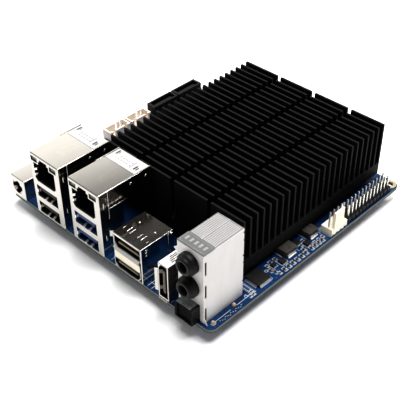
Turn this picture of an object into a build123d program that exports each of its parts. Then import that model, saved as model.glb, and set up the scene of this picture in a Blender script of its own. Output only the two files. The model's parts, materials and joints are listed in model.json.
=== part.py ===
from build123d import *
import os

# Single board computer, in millimetres. The origin is the centre of the board's underside, +Z is up,
# +X runs along the edge that carries the sockets and -Y is the side the sockets face.

os.makedirs("parts", exist_ok=True)

# ---------------------------------------------------------------- board
board_side = 120.0
board_thickness = 1.6
board_corner_radius = 3.0
mount_hole_radius = 1.6
back_hole_x = 56.4
back_hole_y = 57.2
front_hole_left_x = -45.0
front_hole_right_x = 29.2
front_hole_y = -51.0

# ---------------------------------------------------------------- heat sink
sink_left = -27.5
sink_right = 50.1
sink_front = -32.3
sink_back = 56.5
sink_base_bottom = 3.2
sink_base_top = 9.3
sink_top = 28.8
fin_count = 25
fin_pitch = 3.655
fin_first_y = -31.75
fin_thickness = 1.1
fin_gap_centres = [-7.3, 12.5, 32.2]
fin_gap_width = 2.0
sink_screw_radius = 1.25
sink_hole_clearance = 0.05
sink_screw_head_radius = 2.6
sink_screw_head_height = 1.6
sink_screw_reach = 7.0
sink_screw_x = [-21.0, 43.0]
sink_screw_y = [-25.0, 50.0]
sink_boss_radius = 3.2
processor_x = 11.0
processor_y = 12.0

# ---------------------------------------------------------------- network and USB stacks
stack_width = 18.4
stack_front = -60.4
stack_depth = 27.0
stack_height = 30.5
stack_pitch = 24.4
stack_first_left = -40.9
stack_window_shift = -0.4
sheet = 0.4
plug_half_width = 6.65
plug_floor = 17.4
plug_shoulder = 26.3
plug_corner = 1.3
key_half_width = 3.3
key_shoulder = 28.1
key_tip_half_width = 2.3
key_top = 29.2
plug_depth = 19.0
light_offset = 6.0
light_half_width = 2.1
light_bottom = 26.9
usb_floors = [0.7, 9.2]
usb_height = 5.8
usb_depth = 17.5
usb_wall = 0.4
usb_tongue_half_width = 5.4
usb_tongue_thickness = 1.9
usb_contact_thickness = 0.2
label_depth = 7.6
label_thickness = 0.12

# ---------------------------------------------------------------- display connectors
display_left = 8.4
display_width = 16.0
display_front = -60.2
display_depth = 17.0
display_height = 17.4
upright_left = 33.7
upright_width = 5.3
upright_front = -60.6
upright_depth = 18.0
upright_height = 18.2

# ---------------------------------------------------------------- audio stack
audio_left = 42.3
audio_width = 13.0
audio_front = -58.7
audio_depth = 20.9
audio_height = 33.0
audio_cap_depth = 5.9
audio_cap_height = 0.5
jack_heights = [15.5, 26.6]
jack_bore_radius = 1.8
jack_tip_radius = 3.7
jack_base_radius = 4.5
jack_sleeve_radius = 3.2
jack_tip_length = 2.1
jack_base_length = 2.0
jack_sleeve_length = 10.0
optical_half_width = 4.4
optical_top = 8.2
optical_mouth = -62.8
optical_back = -46.0
shutter_half_width = 3.2

# ---------------------------------------------------------------- power inlet
inlet_left = -58.9
inlet_width = 9.6
inlet_front = -60.2
inlet_depth = 14.0
inlet_height = 9.9
inlet_bore_height = 4.9
inlet_window_radius = 3.3
inlet_bore_radius = 3.15
inlet_bore_depth = 9.5
inlet_pin_radius = 1.0

# ---------------------------------------------------------------- headers
pin_side = 0.64
row_pitch = 2.54
expansion_columns = 12
expansion_first_y = 24.13
expansion_outer_x = 58.05
expansion_base_height = 2.5
expansion_pin_top = 8.4
fan_x = 57.0
fan_centre_y = 16.4
fan_pin_top = 11.0
drive_pin_pitch = 2.5


def block(x_low, x_high, y_low, y_high, z_low, z_high):
    """A box between two corners."""
    centre = ((x_low + x_high) / 2, (y_low + y_high) / 2, (z_low + z_high) / 2)
    return Pos(*centre) * Box(x_high - x_low, y_high - y_low, z_high - z_low)


def deck_block(x_low, x_high, y_low, y_high, height_low, height_high):
    """A box whose heights are measured from the board's top face."""
    return block(x_low, x_high, y_low, y_high, board_thickness + height_low, board_thickness + height_high)


def rod_up(radius, x, y, z_low, z_high):
    """A cylinder along Z."""
    return Pos(x, y, (z_low + z_high) / 2) * Cylinder(radius, z_high - z_low)


def rod_back(radius, x, y_low, y_high, height):
    """A cylinder along Y, with its height measured from the board's top face."""
    centre = Pos(x, (y_low + y_high) / 2, board_thickness + height)
    return centre * Rot(90, 0, 0) * Cylinder(radius, y_high - y_low)


def prism_back(outline, y_low, y_high):
    """An (x, height) outline pushed along +Y, with heights measured from the board's top face."""
    corners = [(x, y_low, board_thickness + height) for x, height in outline]
    face = make_face(Polyline(*corners, close=True))
    return extrude(face, amount=y_high - y_low, dir=(0, 1, 0))


def prism_across(outline, x_low, x_high):
    """A (y, height) outline pushed along +X, with heights measured from the board's top face."""
    corners = [(x_low, y, board_thickness + height) for y, height in outline]
    face = make_face(Polyline(*corners, close=True))
    return extrude(face, amount=x_high - x_low, dir=(1, 0, 0))


def save(node, solids):
    """One STEP file per node."""
    export_step(Compound(children=solids), f"parts/{node}.step")


# ================================================================ board
board = Pos(0, 0, board_thickness / 2) * Box(board_side, board_side, board_thickness)
board = fillet(board.edges().filter_by(Axis.Z), board_corner_radius)
mount_points = [
    (-back_hole_x, back_hole_y),
    (back_hole_x, back_hole_y),
    (front_hole_left_x, front_hole_y),
    (front_hole_right_x, front_hole_y),
]
for hole_x, hole_y in mount_points:
    board -= rod_up(mount_hole_radius, hole_x, hole_y, -1, board_thickness + 1)
for screw_x in sink_screw_x:
    for screw_y in sink_screw_y:
        board -= rod_up(sink_screw_radius + sink_hole_clearance, screw_x, screw_y, -1, board_thickness + 1)
save("circuit_board", [board])

# ================================================================ heat sink, screws, processor
sink = deck_block(sink_left, sink_right, sink_front, sink_back, sink_base_bottom, sink_base_top)
for fin in range(fin_count):
    fin_y = fin_first_y + fin * fin_pitch
    fin_low = fin_y - fin_thickness / 2
    fin_high = fin_y + fin_thickness / 2
    sink += deck_block(sink_left, sink_right, fin_low, fin_high, sink_base_top - 0.5, sink_top)
for gap_x in fin_gap_centres:
    gap_low = gap_x - fin_gap_width / 2
    gap_high = gap_x + fin_gap_width / 2
    sink -= deck_block(gap_low, gap_high, sink_front - 1, sink_back + 1, sink_base_top, sink_top + 1)

substrate_top = 1.0
die_top = 1.5
pad_top = 2.0
pedestal_half = 14.0
sink += deck_block(
    processor_x - pedestal_half,
    processor_x + pedestal_half,
    processor_y - pedestal_half,
    processor_y + pedestal_half,
    pad_top,
    sink_base_bottom + 0.5,
)
screws = []
for screw_x in sink_screw_x:
    for screw_y in sink_screw_y:
        boss_top = board_thickness + sink_base_bottom + 0.5
        sink += rod_up(sink_boss_radius, screw_x, screw_y, board_thickness, boss_top)
        hole_radius = sink_screw_radius + sink_hole_clearance
        hole_top = board_thickness + sink_screw_reach + 0.5
        sink -= rod_up(hole_radius, screw_x, screw_y, board_thickness - 1, hole_top)
        screw = rod_up(sink_screw_radius, screw_x, screw_y, -0.5, board_thickness + sink_screw_reach)
        screw += rod_up(sink_screw_head_radius, screw_x, screw_y, -sink_screw_head_height, 0)
        screws.append(screw)
save("heat_sink", [sink])
save("heat_sink_screws", screws)

substrate_half_x = 17.5
substrate_half_y = 12.5
die_half_x = 8.0
die_half_y = 5.0
save("processor_substrate", [deck_block(
    processor_x - substrate_half_x, processor_x + substrate_half_x,
    processor_y - substrate_half_y, processor_y + substrate_half_y, 0, substrate_top)])
save("processor_die", [deck_block(
    processor_x - die_half_x, processor_x + die_half_x,
    processor_y - die_half_y, processor_y + die_half_y, substrate_top, die_top)])
save("thermal_pad", [deck_block(
    processor_x - die_half_x, processor_x + die_half_x,
    processor_y - die_half_y, processor_y + die_half_y, die_top, pad_top)])


# ================================================================ network and USB stacks
def plug_outline(centre):
    """The stepped outline of a network socket with its latch key on top."""
    return [
        (centre - plug_half_width + plug_corner, plug_floor),
        (centre + plug_half_width - plug_corner, plug_floor),
        (centre + plug_half_width, plug_floor + plug_corner),
        (centre + plug_half_width, plug_shoulder),
        (centre + key_half_width, plug_shoulder),
        (centre + key_half_width, key_shoulder),
        (centre + key_tip_half_width, key_shoulder),
        (centre + key_tip_half_width, key_top),
        (centre - key_tip_half_width, key_top),
        (centre - key_tip_half_width, key_shoulder),
        (centre - key_half_width, key_shoulder),
        (centre - key_half_width, plug_shoulder),
        (centre - plug_half_width, plug_shoulder),
        (centre - plug_half_width, plug_floor + plug_corner),
    ]


def light_block(centre, side, y_low, y_high):
    """One status light window, left (-1) or right (+1) of the latch key."""
    middle = centre + side * light_offset
    return deck_block(
        middle - light_half_width, middle + light_half_width, y_low, y_high, light_bottom, key_top)


def usb_insert(centre, floor):
    """A USB socket: a sleeve with its tongue hanging from the roof."""
    y_low = stack_front + sheet
    insert = deck_block(
        centre - plug_half_width, centre + plug_half_width,
        y_low, y_low + usb_depth, floor, floor + usb_height)
    tongue_bottom = floor + usb_height - usb_wall - usb_tongue_thickness
    room_half_width = plug_half_width - usb_wall
    y_end = y_low + usb_depth - 1.5
    insert -= deck_block(
        centre - room_half_width, centre + room_half_width,
        y_low - 1, y_end, floor + usb_wall, tongue_bottom)
    for side in (-1, 1):
        edges = sorted([centre + side * room_half_width, centre + side * usb_tongue_half_width])
        insert -= deck_block(
            edges[0], edges[1], y_low - 1, y_end, tongue_bottom - 0.1, floor + usb_height - usb_wall)
    return insert


def usb_contacts(centre, floor):
    """Four flat contacts on the underside of a USB tongue."""
    tongue_bottom = floor + usb_height - usb_wall - usb_tongue_thickness
    y_low = stack_front + sheet + 1.5
    strips = []
    for offset in (-3.5, -1.0, 1.0, 3.5):
        strips.append(deck_block(
            centre + offset - 0.5, centre + offset + 0.5, y_low, y_low + 9.0,
            tongue_bottom - usb_contact_thickness, tongue_bottom))
    return strips


def plug_contacts(centre):
    """Eight spring wires rising from the floor of the network socket."""
    wires = []
    y_low = stack_front + sheet + 4.0
    for index in range(8):
        wire_x = centre + (index - 3.5) * 1.02
        outline = [
            (y_low + 11.0, plug_floor),
            (y_low + 11.0, plug_floor + 0.4),
            (y_low + 8.6, plug_floor + 0.6),
            (y_low, plug_floor + 3.1),
            (y_low, plug_floor + 2.7),
            (y_low + 8.6, plug_floor + 0.1),
            (y_low + 8.9, plug_floor),
        ]
        wires.append(prism_across(outline, wire_x - 0.22, wire_x + 0.22))
    return wires


def network_stack(left):
    """All the pieces of one stack, as a dictionary of solids."""
    right = left + stack_width
    back = stack_front + stack_depth
    centre = (left + right) / 2 + stack_window_shift
    inside_front = stack_front + sheet

    shield = deck_block(left, right, stack_front, back, 0, stack_height)
    shield -= deck_block(
        left + sheet, right - sheet, inside_front, back - sheet, -1, stack_height - sheet)
    shield -= prism_back(plug_outline(centre), stack_front - 1, inside_front + 1)
    for floor in usb_floors:
        shield -= deck_block(
            centre - plug_half_width, centre + plug_half_width,
            stack_front - 1, inside_front + 1, floor, floor + usb_height)
    for side in (-1, 1):
        shield -= light_block(centre, side, stack_front - 1, inside_front + 1)

    body = deck_block(
        left + sheet, right - sheet, inside_front, back - sheet, 0, stack_height - sheet)
    body -= prism_back(plug_outline(centre), inside_front - 1, inside_front + plug_depth)
    for floor in usb_floors:
        body -= deck_block(
            centre - plug_half_width, centre + plug_half_width,
            inside_front - 1, inside_front + usb_depth, floor, floor + usb_height)
    for side in (-1, 1):
        body -= light_block(centre, side, inside_front - 1, inside_front + 8.0)

    lights = [light_block(centre, side, inside_front, inside_front + 8.0) for side in (-1, 1)]
    return {
        "shield": [shield],
        "body": [body],
        "lights": lights,
        "contacts": plug_contacts(centre),
        "usb_inserts": [usb_insert(centre, floor) for floor in usb_floors],
        "usb_contacts": [strip for floor in usb_floors for strip in usb_contacts(centre, floor)],
    }


stack_names = ["left", "right"]
for index, name in enumerate(stack_names):
    pieces = network_stack(stack_first_left + index * stack_pitch)
    for piece, solids in pieces.items():
        save(f"{name}_stack_{piece}", solids)

labels = []
for index in range(len(stack_names)):
    label_left = stack_first_left + index * stack_pitch + 0.8
    label_right = label_left + stack_width - 1.4
    label_back = stack_front + stack_depth - 0.5
    labels.append(deck_block(
        label_left, label_right, label_back - label_depth, label_back,
        stack_height, stack_height + label_thickness))
save("stack_labels", labels)


# ================================================================ stacked display connector
def wide_display_outline(centre, floor, half_width, height, bevel):
    """A flat display socket: a rectangle with two bevelled corners at the bottom."""
    return [
        (centre - half_width + bevel, floor),
        (centre + half_width - bevel, floor),
        (centre + half_width, floor + bevel),
        (centre + half_width, floor + height),
        (centre - half_width, floor + height),
        (centre - half_width, floor + bevel),
    ]


display_centre = display_left + display_width / 2
display_right = display_left + display_width
display_back = display_front + display_depth
lower_centre = display_centre - 0.5
lower_floor = 0.4
lower_outline = wide_display_outline(lower_centre, lower_floor, 7.1, 4.5, 1.6)
upper_floor = 10.9
upper_outline = [
    (display_centre - 7.6, upper_floor + 2.0),
    (display_centre - 5.9, upper_floor),
    (display_centre + 7.6, upper_floor),
    (display_centre + 7.6, upper_floor + 5.5),
    (display_centre - 7.6, upper_floor + 5.5),
]
slit_floor = 8.7
slit_height = 0.8

display_shield = deck_block(display_left, display_right, display_front, display_back, 0, display_height)
display_shield -= deck_block(
    display_left + sheet, display_right - sheet, display_front + sheet,
    display_back - sheet, -1, display_height - sheet)
display_shield -= prism_back(lower_outline, display_front - 1, display_front + 1)
display_shield -= prism_back(upper_outline, display_front - 1, display_front + 1)
display_shield -= deck_block(
    display_left + 0.8, display_right - 2.2, display_front - 1, display_front + 1,
    slit_floor, slit_floor + slit_height)
top_slots = [(-6.4, 2.7), (-3.9, 5.5), (-2.2, 4.8), (1.8, 5.5), (3.7, 5.0), (6.5, 2.2)]
for slot_offset, slot_length in top_slots:
    slot_x = display_centre + slot_offset
    slot_middle = display_front + 4.6
    display_shield -= deck_block(
        slot_x - 0.15, slot_x + 0.15, slot_middle - slot_length / 2, slot_middle + slot_length / 2,
        display_height - 1, display_height + 1)
save("display_stack_shield", [display_shield])

display_body = deck_block(
    display_left + sheet, display_right - sheet, display_front + sheet,
    display_back - sheet, 0, display_height - sheet)
cavity_front = display_front + sheet
display_body -= prism_back(lower_outline, cavity_front - 1, cavity_front + 11.5)
display_body -= prism_back(upper_outline, cavity_front - 1, cavity_front + 11.5)
lower_tongue_low = lower_floor + 2.1
upper_tongue_low = upper_floor + 2.2
tongue_thickness = 0.9
display_body += deck_block(
    lower_centre - 5.6, lower_centre + 5.6, cavity_front + 1.5, cavity_front + 12.0,
    lower_tongue_low, lower_tongue_low + tongue_thickness)
display_body += deck_block(
    display_centre - 5.2, display_centre + 6.2, cavity_front + 1.5, cavity_front + 12.0,
    upper_tongue_low, upper_tongue_low + tongue_thickness)
save("display_stack_body", [display_body])

display_contacts = []
for tongue_centre, tongue_low, count, pitch in (
    (lower_centre, lower_tongue_low, 10, 1.0),
    (display_centre + 0.5, upper_tongue_low, 10, 1.0),
):
    for index in range(count):
        strip_x = tongue_centre + (index - (count - 1) / 2) * pitch
        for face_low in (tongue_low - 0.12, tongue_low + tongue_thickness):
            display_contacts.append(deck_block(
                strip_x - 0.25, strip_x + 0.25, cavity_front + 2.2, cavity_front + 10.0,
                face_low, face_low + 0.12))
save("display_stack_contacts", display_contacts)

# ================================================================ upright display connector
upright_right = upright_left + upright_width
upright_back = upright_front + upright_depth
upright_floor = 1.2
upright_outline = [
    (upright_left + 0.5, upright_floor + 0.7),
    (upright_right - 0.5, upright_floor + 0.7),
    (upright_right - 0.5, upright_height - 0.5),
    (upright_left + 1.8, upright_height - 0.5),
    (upright_left + 0.5, upright_height - 2.2),
]
upright_shield = deck_block(
    upright_left, upright_right, upright_front, upright_back, upright_floor, upright_height)
upright_inside = deck_block(
    upright_left + sheet, upright_right - sheet, upright_front + sheet, upright_back - sheet,
    upright_floor + sheet, upright_height - sheet)
upright_shield -= upright_inside
upright_shield -= prism_back(upright_outline, upright_front - 1, upright_front + 1)
for leg_y in (upright_front + 4.0, upright_back - 4.0):
    for leg_x in (upright_left, upright_right - sheet):
        upright_shield += deck_block(leg_x, leg_x + sheet, leg_y - 1.0, leg_y + 1.0, 0, upright_floor + 0.5)
save("upright_display_shield", [upright_shield])

upright_body = upright_inside
upright_mouth = upright_front + sheet
upright_body -= prism_back(upright_outline, upright_mouth - 1, upright_mouth + 11.5)
upright_tongue_x = (upright_left + upright_right) / 2 + 0.3
upright_body += deck_block(
    upright_tongue_x - 0.45, upright_tongue_x + 0.45, upright_mouth + 1.5, upright_mouth + 12.0,
    upright_floor + 3.0, upright_height - 3.2)
save("upright_display_body", [upright_body])

upright_contacts = []
upright_middle = (upright_floor + upright_height) / 2
for index in range(10):
    strip_z = upright_middle + (index - 4.5) * 1.0
    for face_x in (upright_tongue_x - 0.45 - 0.12, upright_tongue_x + 0.45):
        upright_contacts.append(deck_block(
            face_x, face_x + 0.12, upright_mouth + 2.2, upright_mouth + 10.0,
            strip_z - 0.25, strip_z + 0.25))
save("upright_display_contacts", upright_contacts)

# ================================================================ audio stack
audio_right = audio_left + audio_width
audio_back = audio_front + audio_depth
audio_centre = (audio_left + audio_right) / 2
running_gap = 0.05
optical_outline = [
    (audio_centre - optical_half_width, 0.1),
    (audio_centre + optical_half_width, 0.1),
    (audio_centre + optical_half_width, optical_top - 1.0),
    (audio_centre + optical_half_width - 1.0, optical_top),
    (audio_centre - optical_half_width + 1.0, optical_top),
    (audio_centre - optical_half_width, optical_top - 1.0),
]

audio_shield = deck_block(audio_left, audio_right, audio_front, audio_back, 0, audio_height)
audio_shield -= deck_block(
    audio_left + sheet, audio_right - sheet, audio_front + sheet, audio_back - sheet,
    -1, audio_height - sheet)
audio_body = deck_block(
    audio_left + sheet, audio_right - sheet, audio_front + sheet, audio_back - sheet,
    0, audio_height - sheet)
optical_room = deck_block(
    audio_centre - optical_half_width, audio_centre + optical_half_width,
    audio_front - 1, optical_back, -1, optical_top)
audio_shield -= optical_room
audio_body -= optical_room
barrels = []
sleeve_end = audio_front + jack_sleeve_length
for height in jack_heights:
    sleeve_hole = rod_back(
        jack_sleeve_radius + running_gap, audio_centre, audio_front - 1, sleeve_end, height)
    audio_shield -= sleeve_hole
    audio_body -= sleeve_hole
    audio_body -= rod_back(jack_bore_radius + 0.4, audio_centre, sleeve_end - 1, sleeve_end + 5.0, height)
    base_front = audio_front - jack_base_length
    barrel = rod_back(jack_base_radius, audio_centre, base_front, audio_front, height)
    barrel += rod_back(jack_tip_radius, audio_centre, base_front - jack_tip_length, base_front + 0.5, height)
    barrel += rod_back(jack_sleeve_radius, audio_centre, audio_front - 0.5, sleeve_end, height)
    barrel -= rod_back(
        jack_bore_radius, audio_centre, base_front - jack_tip_length - 1, sleeve_end + 1, height)
    barrels.append(barrel)
side_slot_half_height = 3.15
for height in [4.3] + jack_heights:
    audio_shield -= deck_block(
        audio_right - sheet - 0.01, audio_right + 1, audio_front + 0.6, audio_front + 1.5,
        height - side_slot_half_height, height + side_slot_half_height)
save("audio_shield", [audio_shield])
save("audio_body", [audio_body])
save("audio_jack_barrels", barrels)

cap = deck_block(
    audio_left, audio_right, audio_front, audio_front + audio_cap_depth,
    audio_height, audio_height + audio_cap_height)
save("audio_cap", [cap])

spring_contacts = []
for height in jack_heights:
    for side in (-1, 1):
        edges = sorted([audio_centre + side * (jack_bore_radius + 0.36), audio_centre + side * 1.4])
        spring_contacts.append(deck_block(
            edges[0], edges[1], sleeve_end + 0.8, sleeve_end + 4.2, height - 0.35, height + 0.35))
save("audio_jack_contacts", spring_contacts)

cavity_floor = 1.0
cavity_ceiling = 7.4
cavity_half_width = shutter_half_width + 0.1
cavity_back = optical_mouth + 11.8
optical_housing = prism_back(optical_outline, optical_mouth, optical_back)
optical_housing -= deck_block(
    audio_centre - cavity_half_width, audio_centre + cavity_half_width,
    optical_mouth - 1, cavity_back, cavity_floor, cavity_ceiling)
hinge_y = optical_mouth + 1.0
hinge_height = 6.8
hinge_radius = 0.4
hinge_reach = 0.7
shutter_half_thickness = 0.4
hinge_hole = Pos(audio_centre, hinge_y, board_thickness + hinge_height) * Rot(0, 90, 0) * Cylinder(
    hinge_radius + running_gap, 2 * (shutter_half_width + hinge_reach + 0.1))
optical_housing -= hinge_hole
save("optical_housing", [optical_housing])

shutter = deck_block(
    audio_centre - shutter_half_width, audio_centre + shutter_half_width,
    hinge_y - shutter_half_thickness, hinge_y + shutter_half_thickness,
    cavity_floor + 0.1, hinge_height + 0.3)
shutter += Pos(audio_centre, hinge_y, board_thickness + hinge_height) * Rot(0, 90, 0) * Cylinder(
    hinge_radius, 2 * (shutter_half_width + hinge_reach))
save("optical_shutter", [shutter])
save("optical_lens", [rod_back(1.5, audio_centre, cavity_back - 0.8, cavity_back, 4.2)])

# ================================================================ power inlet
inlet_right = inlet_left + inlet_width
inlet_back = inlet_front + inlet_depth
inlet_centre = inlet_left + inlet_width / 2 - 0.4
inlet_shield = deck_block(inlet_left, inlet_right, inlet_front, inlet_back, 0, inlet_height)
inlet_shield -= deck_block(
    inlet_left + sheet, inlet_right - sheet, inlet_front + sheet, inlet_back - sheet,
    -1, inlet_height - sheet)
inlet_shield -= rod_back(
    inlet_window_radius, inlet_centre, inlet_front - 1, inlet_front + 1, inlet_bore_height)
inlet_body = deck_block(
    inlet_left + sheet, inlet_right - sheet, inlet_front + sheet, inlet_back - sheet,
    0, inlet_height - sheet)
bore_end = inlet_front + sheet + inlet_bore_depth
inlet_body -= rod_back(inlet_bore_radius, inlet_centre, inlet_front - 1, bore_end, inlet_bore_height)
pin_end = bore_end + 1.5
inlet_body -= rod_back(
    inlet_pin_radius + running_gap, inlet_centre, bore_end - 1, pin_end, inlet_bore_height)
inlet_pin = rod_back(inlet_pin_radius, inlet_centre, inlet_front + 1.2, pin_end, inlet_bore_height)
inlet_spring_outline = [
    (inlet_front + 2.0, inlet_bore_height + 2.2),
    (inlet_front + 2.0, inlet_bore_height + 1.95),
    (bore_end, inlet_bore_height + 2.6),
    (bore_end, inlet_bore_height + 2.85),
]
save("power_inlet_shield", [inlet_shield])
save("power_inlet_body", [inlet_body])
save("power_inlet_pin", [inlet_pin])
save("power_inlet_spring", [prism_across(inlet_spring_outline, inlet_centre - 0.7, inlet_centre + 0.7)])

# ================================================================ drive sockets and headers
data_left = -58.2
data_width = 5.5
data_height = 9.0
data_length = 15.6
data_gap = 0.5
data_first_y = 19.3
data_sockets = []
data_contacts = []
for index in range(2):
    y_low = data_first_y + index * (data_length + data_gap)
    y_high = y_low + data_length
    socket = deck_block(data_left, data_left + data_width, y_low, y_high, 0, data_height)
    socket -= deck_block(
        data_left + 0.9, data_left + data_width - 0.9, y_low + 1.2, y_high - 1.2, 3.0, data_height + 1)
    blade_left = data_left + 2.4
    socket += deck_block(blade_left, blade_left + 1.2, y_low + 2.4, y_high - 2.4, 2.5, data_height - 0.8)
    socket += deck_block(
        blade_left + 0.5, blade_left + 1.9, y_low + 2.4, y_low + 3.5, 2.5, data_height - 0.8)
    data_sockets.append(socket)
    for contact in range(7):
        contact_y = (y_low + y_high) / 2 + 0.3 + (contact - 3) * 1.27
        data_contacts.append(deck_block(
            blade_left - 0.15, blade_left, contact_y - 0.4, contact_y + 0.4, 3.0, data_height - 1.5))
save("drive_data_sockets", data_sockets)
save("drive_data_contacts", data_contacts)

power_left = -59.6
power_width = 5.75
power_height = 7.0
power_length = 12.4
power_first_y = -7.9
power_step = 13.2
power_headers = []
power_pins = []
for index in range(2):
    y_low = power_first_y + index * power_step
    y_high = y_low + power_length
    header = deck_block(power_left, power_left + power_width, y_low, y_high, 0, power_height)
    header -= deck_block(
        power_left + 0.8, power_left + power_width - 0.8, y_low + 0.8, y_high - 0.8, 1.6, power_height + 1)
    for notch_y in (y_low + 2.6, y_high - 2.6):
        header -= deck_block(
            power_left + power_width - 1.0, power_left + power_width + 1, notch_y - 0.8, notch_y + 0.8,
            3.0, power_height + 1)
    for pin in range(4):
        pin_y = (y_low + y_high) / 2 + (pin - 1.5) * drive_pin_pitch
        pin_x = power_left + power_width / 2 + 0.3
        pin_box = (pin_x - pin_side / 2, pin_x + pin_side / 2, pin_y - pin_side / 2, pin_y + pin_side / 2)
        header -= deck_block(*pin_box, -1, 3)
        power_pins.append(deck_block(*pin_box, 0, power_height - 1.2))
    power_headers.append(header)
save("drive_power_headers", power_headers)
save("drive_power_pins", power_pins)

# ================================================================ fan header
fan_base_left = 53.8
fan_base_right = 59.5
fan_base_front = 11.6
fan_base_back = 21.8
fan_base_height = 3.2
fan_wall_front = 13.2
fan_wall_back = 19.2
fan_wall_left = 58.1
fan_wall_height = 11.1
fan_header = deck_block(fan_base_left, fan_base_right, fan_base_front, fan_base_back, 0, fan_base_height)
fan_wall_outline = [
    (fan_wall_left, fan_base_height - 0.5),
    (fan_base_right - 0.1, fan_base_height - 0.5),
    (fan_base_right - 0.1, fan_wall_height),
    (fan_wall_left + 0.4, fan_wall_height),
    (fan_wall_left, fan_wall_height - 2.0),
]
fan_header += prism_back(fan_wall_outline, fan_wall_front, fan_wall_back)
fan_pins = []
for pin in range(4):
    pin_y = fan_centre_y + (pin - 1.5) * row_pitch
    pin_box = (fan_x - pin_side / 2, fan_x + pin_side / 2, pin_y - pin_side / 2, pin_y + pin_side / 2)
    fan_header -= deck_block(*pin_box, -1, fan_base_height + 1)
    fan_pins.append(deck_block(*pin_box, 0, fan_pin_top))
save("fan_header", [fan_header])
save("fan_header_pins", fan_pins)

# ================================================================ expansion header
expansion_inner_x = expansion_outer_x - row_pitch
expansion_edge = row_pitch / 2
expansion_last_y = expansion_first_y + (expansion_columns - 1) * row_pitch
expansion_base = deck_block(
    expansion_inner_x - expansion_edge, expansion_outer_x + expansion_edge,
    expansion_first_y - expansion_edge, expansion_last_y + expansion_edge, 0, expansion_base_height)
expansion_pins = []
for column in range(expansion_columns):
    pin_y = expansion_first_y + column * row_pitch
    for pin_x in (expansion_inner_x, expansion_outer_x):
        pin_box = (pin_x - pin_side / 2, pin_x + pin_side / 2, pin_y - pin_side / 2, pin_y + pin_side / 2)
        expansion_base -= deck_block(*pin_box, -1, expansion_base_height + 1)
        expansion_pins.append(deck_block(*pin_box, 0, expansion_pin_top))
for column in range(expansion_columns - 1):
    notch_y = expansion_first_y + (column + 0.5) * row_pitch
    for side_x in (expansion_inner_x - expansion_edge, expansion_outer_x + expansion_edge):
        expansion_base -= deck_block(
            side_x - 0.35, side_x + 0.35, notch_y - 0.35, notch_y + 0.35, -1, expansion_base_height + 1)
save("expansion_header_base", [expansion_base])
save("expansion_header_pins", expansion_pins)

# ================================================================ surface parts beside the heat sink
inductors = [
    deck_block(48.0, 54.6, -11.2, -4.5, 0.15, 3.0),
    deck_block(48.2, 54.1, 3.8, 9.7, 0.15, 3.0),
]
save("power_inductors", inductors)
inductor_feet = [
    deck_block(54.6, 55.3, -10.2, -5.5, 0, 1.3),
    deck_block(47.3, 48.0, -10.2, -5.5, 0, 1.3),
    deck_block(54.1, 54.8, 4.6, 8.9, 0, 1.3),
    deck_block(47.5, 48.2, 4.6, 8.9, 0, 1.3),
]
save("inductor_terminals", inductor_feet)

codec_left = 50.3
codec_front = -31.0
codec_side = 7.0
codec_low = 0.1
codec_top = 1.5
codec = deck_block(
    codec_left, codec_left + codec_side, codec_front, codec_front + codec_side, codec_low, codec_top)
save("audio_chip", [codec])
codec_leads = []
for lead in range(12):
    along = (lead - 5.5) * 0.5 + codec_side / 2
    for side_x, direction in ((codec_left, -1), (codec_left + codec_side, 1)):
        edges = sorted([side_x, side_x + direction * 1.0])
        lead_y = codec_front + along
        codec_leads.append(deck_block(edges[0], edges[1], lead_y - 0.11, lead_y + 0.11, 0, 0.45))
    for side_y, direction in ((codec_front, -1), (codec_front + codec_side, 1)):
        edges = sorted([side_y, side_y + direction * 1.0])
        lead_x = codec_left + along
        codec_leads.append(deck_block(lead_x - 0.11, lead_x + 0.11, edges[0], edges[1], 0, 0.45))
save("audio_chip_leads", codec_leads)

chip_places = [
    (54.4, -13.6, 1.3),
    (54.8, 1.4, 1.3),
    (51.6, -1.2, 1.2),
    (53.4, -17.8, 0.9),
    (51.4, 11.6, 1.0),
    (-34.5, -24.0, 3.0),
    (-34.5, -12.0, 3.0),
]
chip_height = 0.9
save("small_chips", [
    deck_block(x - half, x + half, y - half, y + half, 0, chip_height) for x, y, half in chip_places])

capacitor_places = [
    (57.9, -16.1), (57.9, -13.6), (57.9, -11.0), (57.9, -8.3), (57.9, -5.6), (57.9, -3.0),
    (57.8, 0.7), (57.8, 3.0), (57.8, 5.3), (57.8, 7.6), (56.2, -2.2), (56.4, -19.8), (54.6, -20.6),
    (51.8, -14.6), (51.6, -17.2),
]
resistor_places = [
    (56.6, 2.0), (56.6, 4.4), (56.6, 6.8), (56.6, 9.4), (58.0, -34.6), (58.0, -36.4), (56.6, -34.2),
    (57.9, -19.0), (51.9, -19.6), (53.8, -0.9), (52.4, 1.8),
]
capacitor_size = (1.6, 0.8, 0.8)
resistor_size = (1.0, 0.5, 0.35)


def small_parts(places, size):
    """Chip capacitors or resistors lying along X."""
    half_x = size[0] / 2
    half_y = size[1] / 2
    return [deck_block(x - half_x, x + half_x, y - half_y, y + half_y, 0, size[2]) for x, y in places]


save("chip_capacitors", small_parts(capacitor_places, capacitor_size))
save("chip_resistors", small_parts(resistor_places, resistor_size))

# ================================================================ underside: memory socket
socket_half_length = 37.0
socket_front = -19.0
socket_back = -13.0
socket_depth = 5.2
arm_length = 22.0
arm_depth = 1.8
memory_socket = block(-socket_half_length, socket_half_length, socket_front, socket_back, -socket_depth, 0)
memory_socket -= block(-33.8, 33.8, socket_back - 3.5, socket_back + 1, -3.6, -2.3)
arm_low_x = socket_half_length - 2.6
for side in (-1, 1):
    edges = sorted([side * arm_low_x, side * socket_half_length])
    memory_socket += block(edges[0], edges[1], socket_back - 0.5, socket_back + arm_length, -arm_depth, 0)

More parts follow.
